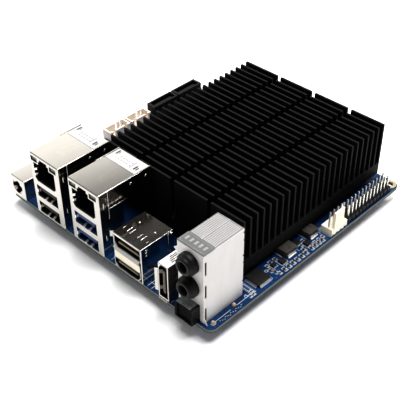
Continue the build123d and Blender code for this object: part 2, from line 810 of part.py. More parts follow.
latch_half_width = 0.8
latch_front = socket_back + 4.0
latch_back = socket_back + arm_length
latch_pivot_y = latch_front + 1.5
latch_pin_radius = 0.5
latch_pin_top = -0.4
latch_bottom = -socket_depth + 0.4
for name, side in (("left", -1), ("right", 1)):
    latch_x = side * (socket_half_length - 1.0)
    latch = block(
        latch_x - latch_half_width, latch_x + latch_half_width, latch_front, latch_back,
        latch_bottom, -arm_depth - 0.1)
    hook_edges = sorted([latch_x - side * 0.5, latch_x - side * 2.4])
    latch += block(
        hook_edges[0], hook_edges[1], latch_back - 2.5, latch_back, latch_bottom, latch_bottom + 1.0)
    latch += rod_up(latch_pin_radius, latch_x, latch_pivot_y, -arm_depth - 0.5, latch_pin_top)
    memory_socket -= rod_up(
        latch_pin_radius + running_gap, latch_x, latch_pivot_y, -arm_depth - 1, latch_pin_top + 0.1)
    save(f"memory_latch_{name}", [latch])
save("memory_socket", [memory_socket])

# ================================================================ underside: drive socket
card_y = 40.0
drive_left = -54.0
drive_right = -48.0
drive_half_length = 11.5
drive_depth = 5.2
drive_socket = block(
    drive_left, drive_right, card_y - drive_half_length, card_y + drive_half_length, -drive_depth, 0)
drive_socket -= block(drive_right - 4.0, drive_right + 1, card_y - 10.0, card_y + 10.0, -3.4, -2.3)
save("card_socket", [drive_socket])
standoff_x = 27.0
standoff_height = 2.4
standoff_radius = 2.6
thread_radius = 1.0
standoff = rod_up(standoff_radius, standoff_x, card_y, -standoff_height, 0)
standoff -= rod_up(thread_radius, standoff_x, card_y, -standoff_height - 1, 0)
save("card_standoff", [standoff])

# ================================================================ buttons at the back edge
button_centres = {"power": -36.0, "reset": -45.0}
button_half_width = 3.0
button_front = 55.6
button_back = 59.4
button_height = 3.6
plunger_half_width = 1.5
plunger_low = 1.0
plunger_high = 2.6
plunger_gap = 0.1
plunger_inside = 2.4
plunger_reach = 1.3
button_travel = 0.25
housings = []
for name, centre in button_centres.items():
    housing = deck_block(
        centre - button_half_width, centre + button_half_width, button_front, button_back, 0, button_height)
    pocket_front = button_back - plunger_inside - button_travel - plunger_gap
    housing -= deck_block(
        centre - plunger_half_width - plunger_gap, centre + plunger_half_width + plunger_gap,
        pocket_front, button_back + 1, plunger_low - plunger_gap, plunger_high + plunger_gap)
    housings.append(housing)
    plunger = deck_block(
        centre - plunger_half_width, centre + plunger_half_width,
        button_back - plunger_inside, button_back + plunger_reach, plunger_low, plunger_high)
    save(f"{name}_button", [plunger])
save("button_housings", housings)
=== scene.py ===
import json
import math
import random

import bmesh
import bpy
from mathutils import Matrix, Vector

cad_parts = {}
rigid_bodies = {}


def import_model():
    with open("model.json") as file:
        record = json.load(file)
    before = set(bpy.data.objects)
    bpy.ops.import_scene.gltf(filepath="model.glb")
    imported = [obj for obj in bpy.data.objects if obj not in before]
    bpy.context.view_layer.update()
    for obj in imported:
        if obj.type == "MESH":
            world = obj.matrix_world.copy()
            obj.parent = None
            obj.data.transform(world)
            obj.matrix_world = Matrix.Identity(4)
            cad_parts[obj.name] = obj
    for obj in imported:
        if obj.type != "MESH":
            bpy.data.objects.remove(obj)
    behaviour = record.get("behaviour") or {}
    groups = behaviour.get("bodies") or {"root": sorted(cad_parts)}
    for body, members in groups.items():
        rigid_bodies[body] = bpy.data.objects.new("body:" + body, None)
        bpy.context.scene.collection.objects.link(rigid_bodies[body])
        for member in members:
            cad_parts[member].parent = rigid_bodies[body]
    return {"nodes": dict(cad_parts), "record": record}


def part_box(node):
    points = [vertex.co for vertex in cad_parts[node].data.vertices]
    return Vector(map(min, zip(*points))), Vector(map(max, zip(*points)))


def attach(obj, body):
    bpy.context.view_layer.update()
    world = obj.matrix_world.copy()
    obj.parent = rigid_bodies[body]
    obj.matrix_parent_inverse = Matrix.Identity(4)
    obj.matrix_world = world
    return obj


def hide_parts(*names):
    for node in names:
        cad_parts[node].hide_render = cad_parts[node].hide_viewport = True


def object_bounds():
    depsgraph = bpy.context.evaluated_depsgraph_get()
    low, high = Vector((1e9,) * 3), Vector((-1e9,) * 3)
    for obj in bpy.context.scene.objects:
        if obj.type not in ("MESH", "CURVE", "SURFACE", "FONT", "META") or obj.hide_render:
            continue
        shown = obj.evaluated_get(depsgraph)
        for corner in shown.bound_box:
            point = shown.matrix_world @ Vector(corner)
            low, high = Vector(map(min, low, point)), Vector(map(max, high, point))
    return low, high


# A single board computer dressed around its CAD frame. Shapes are built in millimetres in the frame's own
# axes (+X along the socket edge, -Y the way the sockets face, +Z up) and scaled to metres at the end.

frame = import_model()
for stray in [o for o in bpy.data.objects if o.name in ("Cube", "Light", "Camera")]:
    bpy.data.objects.remove(stray)
cad_low, cad_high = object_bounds()
MM = 0.001
random.seed(7)
PLANES = {"xy": lambda u, v, w: (u, v, w), "xz": lambda u, v, w: (u, w, v), "yz": lambda u, v, w: (w, u, v)}
FLAT_DEGREES = 1
WELD = 0.002


# ---- mesh helpers
def span(node):
    """The lowest and highest corners of a CAD node, in millimetres."""
    low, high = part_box(node)
    return low / MM, high / MM


def sharp_edges(bm, least=35):
    """The edges where two faces meet at more than this many degrees."""
    limit = math.radians(least)
    return [e for e in bm.edges if len(e.link_faces) == 2 and e.calc_face_angle(0) > limit]


def round_edges(bm, edges, radius, segments=2):
    """Rounds the edges given."""
    if edges and radius > 0:
        bmesh.ops.bevel(
            bm, geom=edges, offset=radius, offset_type="OFFSET", segments=segments,
            profile=0.5, affect="EDGES", clamp_overlap=False)
    return bm


def soften(bm, radius, segments=2, least=50):
    """Rounds every edge sharper than this many degrees."""
    return round_edges(bm, sharp_edges(bm, least), radius, segments)


def block(x0, x1, y0, y1, z0, z1, radius=0.08, segments=2):
    """A box with rounded edges."""
    bm = bmesh.new()
    bmesh.ops.create_cube(bm, size=1)
    size = Vector((x1 - x0, y1 - y0, z1 - z0))
    bmesh.ops.scale(bm, vec=size, verts=bm.verts)
    bmesh.ops.translate(bm, vec=((x0 + x1) / 2, (y0 + y1) / 2, (z0 + z1) / 2), verts=bm.verts)
    return round_edges(bm, bm.edges[:], min(radius, 0.4 * min(size)), segments)


def blocks(x, y, z, rows, radius=0.08, segments=2):
    """Boxes given as rows of x0, x1, y0, y1, z0 and z1, measured from one point."""
    return [block(x + a, x + b, y + c, y + d, z + e, z + f, radius, segments) for a, b, c, d, e, f in rows]


def prism(outline, plane, low, high, holes=(), radius=0.05, segments=2):
    """A flat outline, with any holes, pushed along the axis that crosses its plane."""
    place = PLANES[plane]
    bm = bmesh.new()
    edges = []
    for loop in [outline, *holes]:
        verts = [bm.verts.new(place(*point, low)) for point in loop]
        edges += [bm.edges.new((verts[i - 1], verts[i])) for i in range(len(verts))]
    if holes:
        bmesh.ops.triangle_fill(bm, use_beauty=True, edges=edges)
    else:
        bm.faces.new(verts)
    pushed = bmesh.ops.extrude_face_region(bm, geom=bm.faces[:])["geom"]
    verts = [v for v in pushed if isinstance(v, bmesh.types.BMVert)]
    bmesh.ops.translate(bm, vec=place(0, 0, high - low), verts=verts)
    bmesh.ops.recalc_face_normals(bm, faces=bm.faces)
    return soften(bm, radius, segments, 35)


def lathe(profile, centre, axis="z", segments=48, ring=False):
    """A turned solid. Each profile point is (radius, place along the axis); a ring closes on itself."""
    bm = bmesh.new()
    turn = {"z": Matrix.Identity(3), "y": Matrix(((1, 0, 0), (0, 0, 1), (0, -1, 0))),
            "x": Matrix(((0, 0, 1), (0, 1, 0), (-1, 0, 0)))}[axis]
    loops = []
    for radius, along in profile:
        count = segments if radius > 1e-6 else 1
        points = [(x, y, along) for x, y in circle(0, 0, radius, count)]
        loops.append([bm.verts.new(turn @ Vector(point) + Vector(centre)) for point in points])
    for one, two in zip(loops, loops[1:] + loops[:1] if ring else loops[1:]):
        for i in range(segments):
            corners = [loop[k % len(loop)] for loop, k in ((one, i), (one, i + 1), (two, i + 1), (two, i))]
            unique = list(dict.fromkeys(corners))
            if len(unique) > 2:
                bm.faces.new(unique)
    bmesh.ops.recalc_face_normals(bm, faces=bm.faces)
    return bm


def strip(path, thickness):
    """The outline of a strip of even thickness that follows a flat path."""
    points = [Vector(p) for p in path]
    steps = [(b - a).normalized() for a, b in zip(points, points[1:])]
    steps = [steps[0], *steps, steps[-1]]
    left, right = [], []
    for point, before, after in zip(points, steps, steps[1:]):
        side = Vector((-before.y, before.x))
        mitre = (side + Vector((-after.y, after.x))).normalized()
        reach = thickness / 2 / max(mitre.dot(side), 0.4)
        left.append(tuple(point + mitre * reach))
        right.append(tuple(point - mitre * reach))
    return left + right[::-1]


def moved(path, x, y):
    """A flat path measured from another point."""
    return [(x + a, y + b) for a, b in path]


def ribbon(path, start, thickness, plane, low, high, radius=0.05, segments=2):
    """A bent strip as wide as the way from low to high; its path is measured from a start point."""
    return prism(strip(moved(path, *start), thickness), plane, low, high, (), radius, segments)


def circle(x, y, radius, count=32):
    """Points round a circle."""
    turns = [2 * math.pi * i / count for i in range(count)]
    return [(x + radius * math.cos(a), y + radius * math.sin(a)) for a in turns]


def rectangle(x0, x1, y0, y1, inset):
    """The corners of a rectangle, drawn in by an inset."""
    x0, x1, y0, y1 = x0 + inset, x1 - inset, y0 + inset, y1 - inset
    return [(x0, y0), (x1, y0), (x1, y1), (x0, y1)]


def rounded(x0, x1, y0, y1, radius, steps=6):
    """Points round a rectangle with round corners."""
    points = []
    for quarter, (x, y) in enumerate(rectangle(x0, x1, y0, y1, radius)):
        turns = [math.radians(180 + 90 * (quarter + step / steps)) for step in range(steps + 1)]
        points += [(x + radius * math.cos(a), y + radius * math.sin(a)) for a in turns]
    return points


def mirrored(centre, half, way):
    """An outline from its half on one side, in widths from the centre, and the same half back again."""
    return [(centre + way * x, z) for x, z in half] + [(centre - way * x, z) for x, z in reversed(half)]


def ring(x, y, inner, outer, z_low, z_high, count=32):
    """A flat washer."""
    return prism(circle(x, y, outer, count), "xy", z_low, z_high, [circle(x, y, inner, count)], 0)


def disc(x, y, radius, z_low, z_high, count=16):
    """A flat disc."""
    return prism(circle(x, y, radius, count), "xy", z_low, z_high, (), 0)


def dome(x, y, z, radius, height, axis="z", segments=24):
    """A shallow round bump on a face, along an axis; a negative height points the other way."""
    steps = [math.radians(90 * i / 5) for i in range(6)]
    sunk = -0.15 * math.copysign(1, height)
    profile = [(0, sunk), (radius, sunk)]
    profile += [(radius * math.cos(a), height * math.sin(a)) for a in steps[:-1]] + [(0, height)]
    return lathe(profile, (x, y, z), axis, segments)


def merge_flat(bm):
    """Welds close points and merges flat faces."""
    bmesh.ops.remove_doubles(bm, verts=bm.verts, dist=WELD)
    bmesh.ops.dissolve_limit(bm, angle_limit=math.radians(FLAT_DEGREES), verts=bm.verts, edges=bm.edges)
    return bm


def cad_solid(node):
    """A clean copy of a CAD node's mesh, in millimetres, with its flat faces merged."""
    bm = bmesh.new()
    bm.from_mesh(frame["nodes"][node].data)
    bmesh.ops.scale(bm, vec=(1 / MM,) * 3, verts=bm.verts)
    return merge_flat(bm)


def solids(node):
    """The lowest and highest corners of each separate solid in a CAD node."""
    bm = cad_solid(node)
    found, seen = [], set()
    for start in bm.verts:
        if start in seen:
            continue
        group, waiting = [], [start]
        seen.add(start)
        while waiting:
            vert = waiting.pop()
            group.append(vert.co)
            for other in (e.other_vert(vert) for e in vert.link_edges):
                if other not in seen:
                    seen.add(other)
                    waiting.append(other)
        found.append(tuple(Vector(pick(co[i] for co in group) for i in range(3)) for pick in (min, max)))
    bm.free()
    return found


def pour(bm, whole):
    """Moves one bmesh into another."""
    mesh = bpy.data.meshes.new("part")
    bm.to_mesh(mesh)
    whole.from_mesh(mesh)
    bpy.data.meshes.remove(mesh)
    bm.free()


def joined(parts):
    """Several bmeshes as one."""
    whole = bmesh.new()
    for bm in parts:
        pour(bm, whole)
    return whole


def carved(bm, cutters):
    """The solid with the cutters taken out of it."""
    made = []
    for name, shape in (("solid", bm), ("cutter", joined(cutters))):
        mesh = bpy.data.meshes.new(name)
        shape.to_mesh(mesh)
        shape.free()
        made.append(bpy.data.objects.new(name, mesh))
        bpy.context.scene.collection.objects.link(made[-1])
    cut = made[0].modifiers.new("cut", "BOOLEAN")
    cut.operation, cut.solver, cut.object = "DIFFERENCE", "EXACT", made[1]
    bpy.context.view_layer.update()
    result = bpy.data.meshes.new_from_object(made[0].evaluated_get(bpy.context.evaluated_depsgraph_get()))
    whole = bmesh.new()
    whole.from_mesh(result)
    bpy.data.meshes.remove(result)
    for obj in made:
        bpy.data.meshes.remove(obj.data)
    return merge_flat(whole)


def shell(node, bend=0.45, edge=0.05, cutters=()):
    """A folded shield: wide bends at its corners but not round its open bottom, and fine window edges."""
    bm = cad_solid(node)
    low, high = span(node)
    if cutters:
        bm = carved(bm, cutters)
    planes = [(0, low.x), (0, high.x), (1, low.y), (1, high.y), (2, high.z)]
    corners = [e for e in bm.edges if sum(
        all(abs(v.co[axis] - value) < 0.01 for v in e.verts) for axis, value in planes) >= 2]
    return soften(round_edges(bm, corners, bend, 4), edge, 1, 55)


def piece(name, looks, nodes=(), body="board", slot=None):
    """One object in place of the CAD nodes named, from the bmeshes listed under each paint."""
    mesh = bpy.data.meshes.new(name)
    whole = bmesh.new()
    for index, (look, parts) in enumerate(looks.items()):
        mesh.materials.append(paint[look])
        for bm in parts:
            for face in bm.faces:
                face.material_index = index
            pour(bm, whole)
    for face in whole.faces:
        face.smooth = True
    for edge in sharp_edges(whole, 42):
        edge.smooth = False
    bmesh.ops.scale(whole, vec=(MM,) * 3, verts=whole.verts)
    whole.to_mesh(mesh)
    whole.free()
    obj = bpy.data.objects.new(name, mesh)
    bpy.context.scene.collection.objects.link(obj)
    weighted = obj.modifiers.new("even_normals", "WEIGHTED_NORMAL")
    weighted.keep_sharp, weighted.weight = True, 100
    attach(obj, body)
    if nodes:
        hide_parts(*nodes)
    slot or next(iter(looks))
    return obj


def repaint(obj, look, chosen):
    """Gives the faces of one object that pass a test on their middle and normal another paint."""
    obj.data.materials.append(paint[look])
    for face in obj.data.polygons:
        if chosen(face.center / MM, face.normal):
            face.material_index = len(obj.data.materials) - 1


def dress(node, name, look, radius=0.08, body="board", segments=2, **extra):
    """A CAD node's own shape with its edges rounded, and the extra parts listed under each paint."""
    own = [soften(cad_solid(node), radius, segments), *extra.pop(look, [])]
    return piece(name, {look: own, **extra}, [node], body)


# ---- materials
SOCKETS = {"specular": "Specular IOR Level", "coat": "Coat Weight"}
paint = {}


def add(tree, kind, inputs=None, **settings):
    """A shader node with its settings and inputs; an input may be another node's output."""
    made = tree.nodes.new("ShaderNode" + kind)
    for key, value in settings.items():
        setattr(made, key, value)
    for key, value in (inputs or {}).items():
        if isinstance(value, bpy.types.NodeSocket):
            tree.links.new(value, made.inputs[key])
        else:
            made.inputs[key].default_value = value
    return made


def tint(colour, factor=1):
    """A colour socket's value, from a grey or from red, green and blue."""
    channels = (colour,) * 3 if isinstance(colour, float) else colour[:3]
    return (*(min(1, c * factor) for c in channels), 1)


def in_millimetres(tree, stretch=(1, 1, 1)):
    """The surface point in millimetres, stretched along each axis."""
    point = add(tree, "TexCoord").outputs["Object"]
    scale = tuple(s / MM for s in stretch)
    return add(tree, "Mapping", {"Vector": point, "Scale": scale}).outputs["Vector"]


def noise(tree, point, scale, detail=3):
    """Noise from 0 to 1 with this many swells to the millimetre."""
    return add(tree, "TexNoise", {"Vector": point, "Scale": scale, "Detail": detail}).outputs["Fac"]


def remap(tree, value, from_low, from_high, to_low, to_high):
    """A value carried from one range to another, and held there."""
    return add(tree, "MapRange", {
        "Value": value, "From Min": from_low, "From Max": from_high,
        "To Min": to_low, "To Max": to_high}).outputs["Result"]


def mixed(tree, factor, *colours):
    """Two colours mixed by a factor; each is another node's output, a grey, or red, green and blue."""
    one, two = (c if isinstance(c, bpy.types.NodeSocket) else tint(c) for c in colours)
    return add(tree, "Mix", {0: factor, 6: one, 7: two}, data_type="RGBA").outputs[2]


def maths(tree, operation, *values):
    """One step of arithmetic."""
    return add(tree, "Math", dict(enumerate(values)), operation=operation).outputs[0]


def new_material(name):
    """A material in the paint box, its node tree and its shader."""
    made = paint[name] = bpy.data.materials.new(name)
    made.use_nodes = True
    return made.node_tree, made.node_tree.nodes["Principled BSDF"]


def connect(tree, shader, colour, rough, height, depth, strength=1):
    """Links colour and roughness to a shader, and a bump with this depth in millimetres."""
    bump = add(tree, "Bump", {"Height": height, "Strength": strength, "Distance": depth * MM})
    for key, output in (("Base Color", colour), ("Roughness", rough), ("Normal", bump.outputs["Normal"])):
        tree.links.new(output, shader.inputs[key])


def edge_mask(tree, width):
    """How near a surface point is to a sharp edge, from 0 to 1."""
    rounded_normal = add(tree, "Bevel", {"Radius": width * MM}, samples=4).outputs["Normal"]
    true_normal = add(tree, "NewGeometry").outputs["True Normal"]
    alike = add(tree, "VectorMath", {0: rounded_normal, 1: true_normal}, operation="DOT_PRODUCT")
    return remap(tree, alike.outputs["Value"], 0.995, 0.90, 0, 1)


def finish(name, colour, roughness, metallic=0, spread=0.1, gloss_spread=0.15, swell=0.25,
           stretch=(1, 1, 1), grain=9, relief=0.012, edge_wear_and_highlight=None, edge_band_width=0.1, **values):
    """A surface with uneven colour and gloss, a fine relief and, if asked for, lighter edges: wear on most
    paints, a painted highlight on the ferrite and the glossy black.
    """
    tree, shader = new_material(name)
    point = in_millimetres(tree, stretch)
    blotches = noise(tree, point, swell, 4)
    fine = noise(tree, point, grain, 2)
    base = mixed(tree, blotches, tint(colour, 1 - spread), tint(colour, 1 + spread))
    gloss = maths(tree, "MULTIPLY_ADD", blotches, 0.5, maths(tree, "MULTIPLY", fine, 0.5))
    rough = remap(tree, gloss, 0.3, 0.7, roughness * (1 - gloss_spread), roughness * (1 + gloss_spread))
    if edge_wear_and_highlight:
        patches = remap(tree, blotches, 0.4, 0.6, 0.3, 1)
        base = mixed(tree, maths(tree, "MULTIPLY", edge_mask(tree, edge_band_width), patches), base, edge_wear_and_highlight)
    connect(tree, shader, base, rough, fine, relief)
    shader.inputs["Metallic"].default_value = metallic
    for key, value in values.items():
        shader.inputs[SOCKETS[key]].default_value = value


def solder_mask():
    """Blue mask over copper: pours, bundles of straight traces, and vias in shallow dishes."""
    trace_pitch, via_reach = 0.62, 0.42
    tree, shader = new_material("solder_mask")
    point = in_millimetres(tree)
    patches = {"Vector": point, "Scale": 0.16, "Randomness": 0.9}
    cells = add(tree, "TexVoronoi", patches, distance="CHEBYCHEV").outputs["Color"]
    pick = add(tree, "SeparateColor", {"Color": cells})
    axes = add(tree, "SeparateXYZ", {"Vector": point})
    across = maths(tree, "GREATER_THAN", pick.outputs["Red"], 0.5)
    chosen = add(tree, "Mix", {0: across, 2: axes.outputs["X"], 3: axes.outputs["Y"]}).outputs[0]
    wave = maths(tree, "SINE", maths(tree, "MULTIPLY", chosen, 2 * math.pi / trace_pitch))
    lines = remap(tree, wave, 0.1, 0.4, 0, 1)
    bundles = maths(tree, "MULTIPLY", lines, maths(tree, "GREATER_THAN", pick.outputs["Green"], 0.42))
    pour_mask = maths(tree, "GREATER_THAN", pick.outputs["Blue"], 0.62)
    copper = maths(tree, "MAXIMUM", bundles, pour_mask)
    drills = add(tree, "TexVoronoi", {"Vector": point, "Scale": via_reach, "Randomness": 0.75})
    away = drills.outputs["Distance"]
    base = mixed(tree, copper, (0.003, 0.018, 0.062), (0.006, 0.036, 0.110))
    # Each via: a lighter copper ring, and a near-black centre that is painted shade standing in for the
    # drill hole.
    base = mixed(tree, maths(tree, "LESS_THAN", away, 0.14), base, (0.03, 0.11, 0.24))
    base = mixed(tree, maths(tree, "LESS_THAN", away, 0.06), base, (0.002, 0.008, 0.03))
    cloud = remap(tree, noise(tree, point, 0.06, 3), 0.35, 0.65, 0, 0.35)
    base = mixed(tree, cloud, base, (0.009, 0.052, 0.135))
    dish = maths(tree, "MULTIPLY", maths(tree, "DIVIDE", away, via_reach), 0.02)
    height = maths(tree, "ADD", maths(tree, "MULTIPLY", copper, 0.6), dish)
    rough = remap(tree, noise(tree, point, 3), 0.3, 0.7, 0.22, 0.34)
    connect(tree, shader, base, rough, height, 0.03, 0.6)
    shader.inputs["Specular IOR Level"].default_value = 0.35


def laminate():
    """The board's cut edge: pale resin with thin darker layers, and painted shade over its lower part."""
    layer_pitch = 0.4
    tree, shader = new_material("laminate")
    height = add(tree, "SeparateXYZ", {"Vector": in_millimetres(tree)}).outputs["Z"]
    layers = maths(tree, "SINE", maths(tree, "MULTIPLY", height, 2 * math.pi / layer_pitch))
    fibres = noise(tree, in_millimetres(tree, (3, 3, 0.6)), 2.2, 3)
    base = mixed(tree, remap(tree, layers, 0.2, 0.9, 0, 0.45), (0.16, 0.17, 0.145), (0.08, 0.10, 0.075))
    base = mixed(tree, remap(tree, fibres, 0.4, 0.7, 0, 0.4), base, (0.21, 0.22, 0.19))
    # Painted shade: the edge is mixed towards near-black below about 1.2 mm, darkest at the underside.
    base = mixed(tree, remap(tree, height, 0.5, 1.2, 0.75, 0), base, (0.03, 0.035, 0.028))
    connect(tree, shader, base, remap(tree, fibres, 0.3, 0.7, 0.55, 0.75), fibres, 0.02)


solder_mask()
laminate()
finish("silkscreen", (0.52, 0.54, 0.55), 0.6, spread=0.08, swell=1.5, relief=0.01)
finish("solder", (0.45, 0.44, 0.42), 0.38, 1, spread=0.15, swell=1.2, relief=0.01)
finish("black_anodised", 0.0075, 0.55, spread=0.25, stretch=(0.06, 2.5, 2.5), grain=3, relief=0.004,
       edge_wear_and_highlight=0.035, edge_band_width=0.12, specular=0.12)
finish("zinc_steel", (0.60, 0.61, 0.64), 0.30, 1, edge_wear_and_highlight=0.8)
finish("substrate", (0.02, 0.13, 0.05), 0.4)
finish("silicon", (0.10, 0.10, 0.12), 0.14, 0.4)
finish("thermal_pad", (0.34, 0.37, 0.42), 0.8, relief=0.04)
finish("tin_shield", (0.515, 0.495, 0.463), 0.13, 1, spread=0.03, gloss_spread=0.2,
       stretch=(1, 0.25, 1), grain=5, relief=0.0002, edge_wear_and_highlight=(0.80, 0.78, 0.74), edge_band_width=0.12)
finish("nickel_shield", (0.63, 0.612, 0.605), 0.48, 0.3, spread=0.05, stretch=(1, 1, 0.3), grain=6,
       relief=0.001, edge_wear_and_highlight=(0.76, 0.75, 0.74), edge_band_width=0.12)
# A dark copy of the nickel: painted shade on the audio shield's left side, on its top between the dots, and
# on the springs inside the upright display socket.
finish("nickel_painted_shade", 0.19, 0.45, 0.4, swell=0.6, relief=0.001)
finish("black_plastic", 0.010, 0.45, spread=0.2, edge_wear_and_highlight=0.035, specular=0.22)
# A darker, rougher copy of the black plastic: painted shade on the optical port's front faces.
finish("matt_black_painted_shade", 0.004, 0.6, relief=0.004, edge_wear_and_highlight=0.03, specular=0.08)
# A lighter grey black with much lighter edges: painted sheen on the optical housing's top and painted
# highlights along its edges.
finish("gloss_black", (0.20, 0.225, 0.225), 0.25, spread=0.3, relief=0.002, edge_wear_and_highlight=(0.75, 0.77, 0.77),
       edge_band_width=0.18)
finish("blue_plastic", (0.006, 0.030, 0.125), 0.4, spread=0.12, edge_wear_and_highlight=(0.02, 0.09, 0.26), specular=0.35)
finish("cream_plastic", (0.84, 0.78, 0.64), 0.45, spread=0.05, edge_wear_and_highlight=(0.92, 0.88, 0.78))
finish("warm_plastic", (0.83, 0.745, 0.665), 0.45, spread=0.05, edge_wear_and_highlight=(0.90, 0.84, 0.79))
finish("light_pipe", (0.085, 0.095, 0.075), 0.25, spread=0.15, coat=0.2)
finish("tongue_plastic", (0.09, 0.085, 0.07), 0.5, edge_wear_and_highlight=(0.2, 0.19, 0.15))
finish("gold_contact", (0.83, 0.60, 0.25), 0.22, 1, edge_wear_and_highlight=(0.95, 0.75, 0.40))
# A darker copy of the gold: painted shade on the pads deep inside the display sockets' mouths.
finish("dull_gold", (0.30, 0.23, 0.12), 0.45, 1, edge_wear_and_highlight=(0.5, 0.40, 0.22))
finish("pad_gold", (0.72, 0.60, 0.40), 0.35, 1, relief=0.004)
finish("label_paper", 0.46, 0.65, spread=0.03, swell=0.8, relief=0.006)
finish("label_ink", 0.03, 0.6, spread=0.3, swell=3)
finish("cap_mark", (0.27, 0.272, 0.27), 0.5, spread=0.08, edge_wear_and_highlight=0.4)
finish("grey_cap", (0.12, 0.122, 0.12), 0.5, spread=0.08, edge_wear_and_highlight=0.34)
finish("clear_lens", (0.45, 0.06, 0.05), 0.08, coat=1)
finish("tin_pin", (0.88, 0.86, 0.82), 0.35, 1, spread=0.06, stretch=(1, 1, 0.3), relief=0.003)
# The ferrite's lighter edges are a painted highlight.
finish("ferrite", (0.055, 0.051, 0.046), 0.55, spread=0.7, swell=0.45, relief=0.02, edge_wear_and_highlight=(0.14, 0.13, 0.12),
       specular=0.25)
finish("chip_epoxy", (0.015, 0.015, 0.014), 0.42, spread=0.2, swell=1, grain=12, relief=0.008, edge_wear_and_highlight=0.05,
       specular=0.25)
finish("capacitor_ceramic", (0.07, 0.055, 0.045), 0.4, spread=0.25, swell=0.35)
finish("spring_steel", (0.82, 0.80, 0.76), 0.3, 1, relief=0.001)
finish("brass_standoff", (0.76, 0.56, 0.26), 0.26, 1, edge_wear_and_highlight=(0.9, 0.72, 0.4))
finish("button_plastic", (0.045, 0.045, 0.05), 0.4, edge_wear_and_highlight=0.12)
finish("tan_solder", (0.55, 0.40, 0.28), 0.45, 0.3, spread=0.2, swell=1.5)

# ---- board
board_low, board_high = span("circuit_board")
DECK = board_high.z
HOLE_RADIUS = 1.6
SCREW_HOLE_RADIUS = 1.3
PLATED_RADIUS = 3.0
BOARD_CORNER = 3.0
COPPER = 0.04
PRINT_TOP = DECK + 0.03
PRINT_WIDTH = 0.22


def hole_centres():
    """The mounting holes, from the record's bolt patterns."""
    found = []
    for mount in frame["record"]["mounts"]:
        if mount["kind"] == "bolt_pattern":
            x, y = mount["pos_m"][0] / MM, mount["pos_m"][1] / MM
            half = mount["dims"]["spacing_x_mm"] / 2
            found += [(x - half, y), (x + half, y)]
    return found


def middles(node):
    """The middle of each solid in a node, seen from above."""
    return [((low + high) / 2).xy for low, high in solids(node)]


def board_panel():
    """The laminate with its drilled holes, masked above and below."""
    holes = [circle(x, y, HOLE_RADIUS, 40) for x, y in hole_centres()]
    holes += [circle(x, y, SCREW_HOLE_RADIUS, 32) for x, y in middles("heat_sink_screws")]
    outline = rounded(board_low.x, board_high.x, board_low.y, board_high.y, BOARD_CORNER, 8)
    panel = prism(outline, "xy", board_low.z, board_high.z, holes, 0.04, 1)
    obj = piece("board_panel", {"solder_mask": [panel]}, ["circuit_board"])
    repaint(obj, "laminate", lambda middle, normal: abs(normal.z) < 0.4)


def mark(path, width=PRINT_WIDTH):
    """A printed line along a flat path on the deck."""
    return ribbon(path, (0, 0), width, "xy", DECK, PRINT_TOP, 0)


def marks(x, y, rows, width=PRINT_WIDTH):
    """Printed lines given as rows of x0, y0, x1 and y1, measured from one point."""
    return [mark([(x + x0, y + y0), (x + x1, y + y1)], width) for x0, y0, x1, y1 in rows]


def dot(x, y, radius):
    """A printed dot on the deck."""
    return disc(x, y, radius, DECK, PRINT_TOP)


def bracket(low, high, margin=0.35):
    """Two printed brackets round a small part, open in the middle of its long sides."""
    x0, x1, y0, y1 = low.x - margin, high.x + margin, low.y - margin, high.y + margin
    reach = 0.36 * (x1 - x0)
    return [mark([(x + way * reach, y1), (x, y1), (x, y0), (x + way * reach, y0)])
            for x, way in ((x0, 1), (x1, -1))]


def frame_line(low, high, margin, z=DECK, width=PRINT_WIDTH):
    """A printed rectangle round a part, on the deck or under the board."""
    top = PRINT_TOP if z > 0 else DECK - PRINT_TOP
    outer, inner = (rectangle(low.x, high.x, low.y, high.y, m) for m in (-margin, width - margin))
    return prism(outer, "xy", min(z, top), max(z, top), [inner], 0)


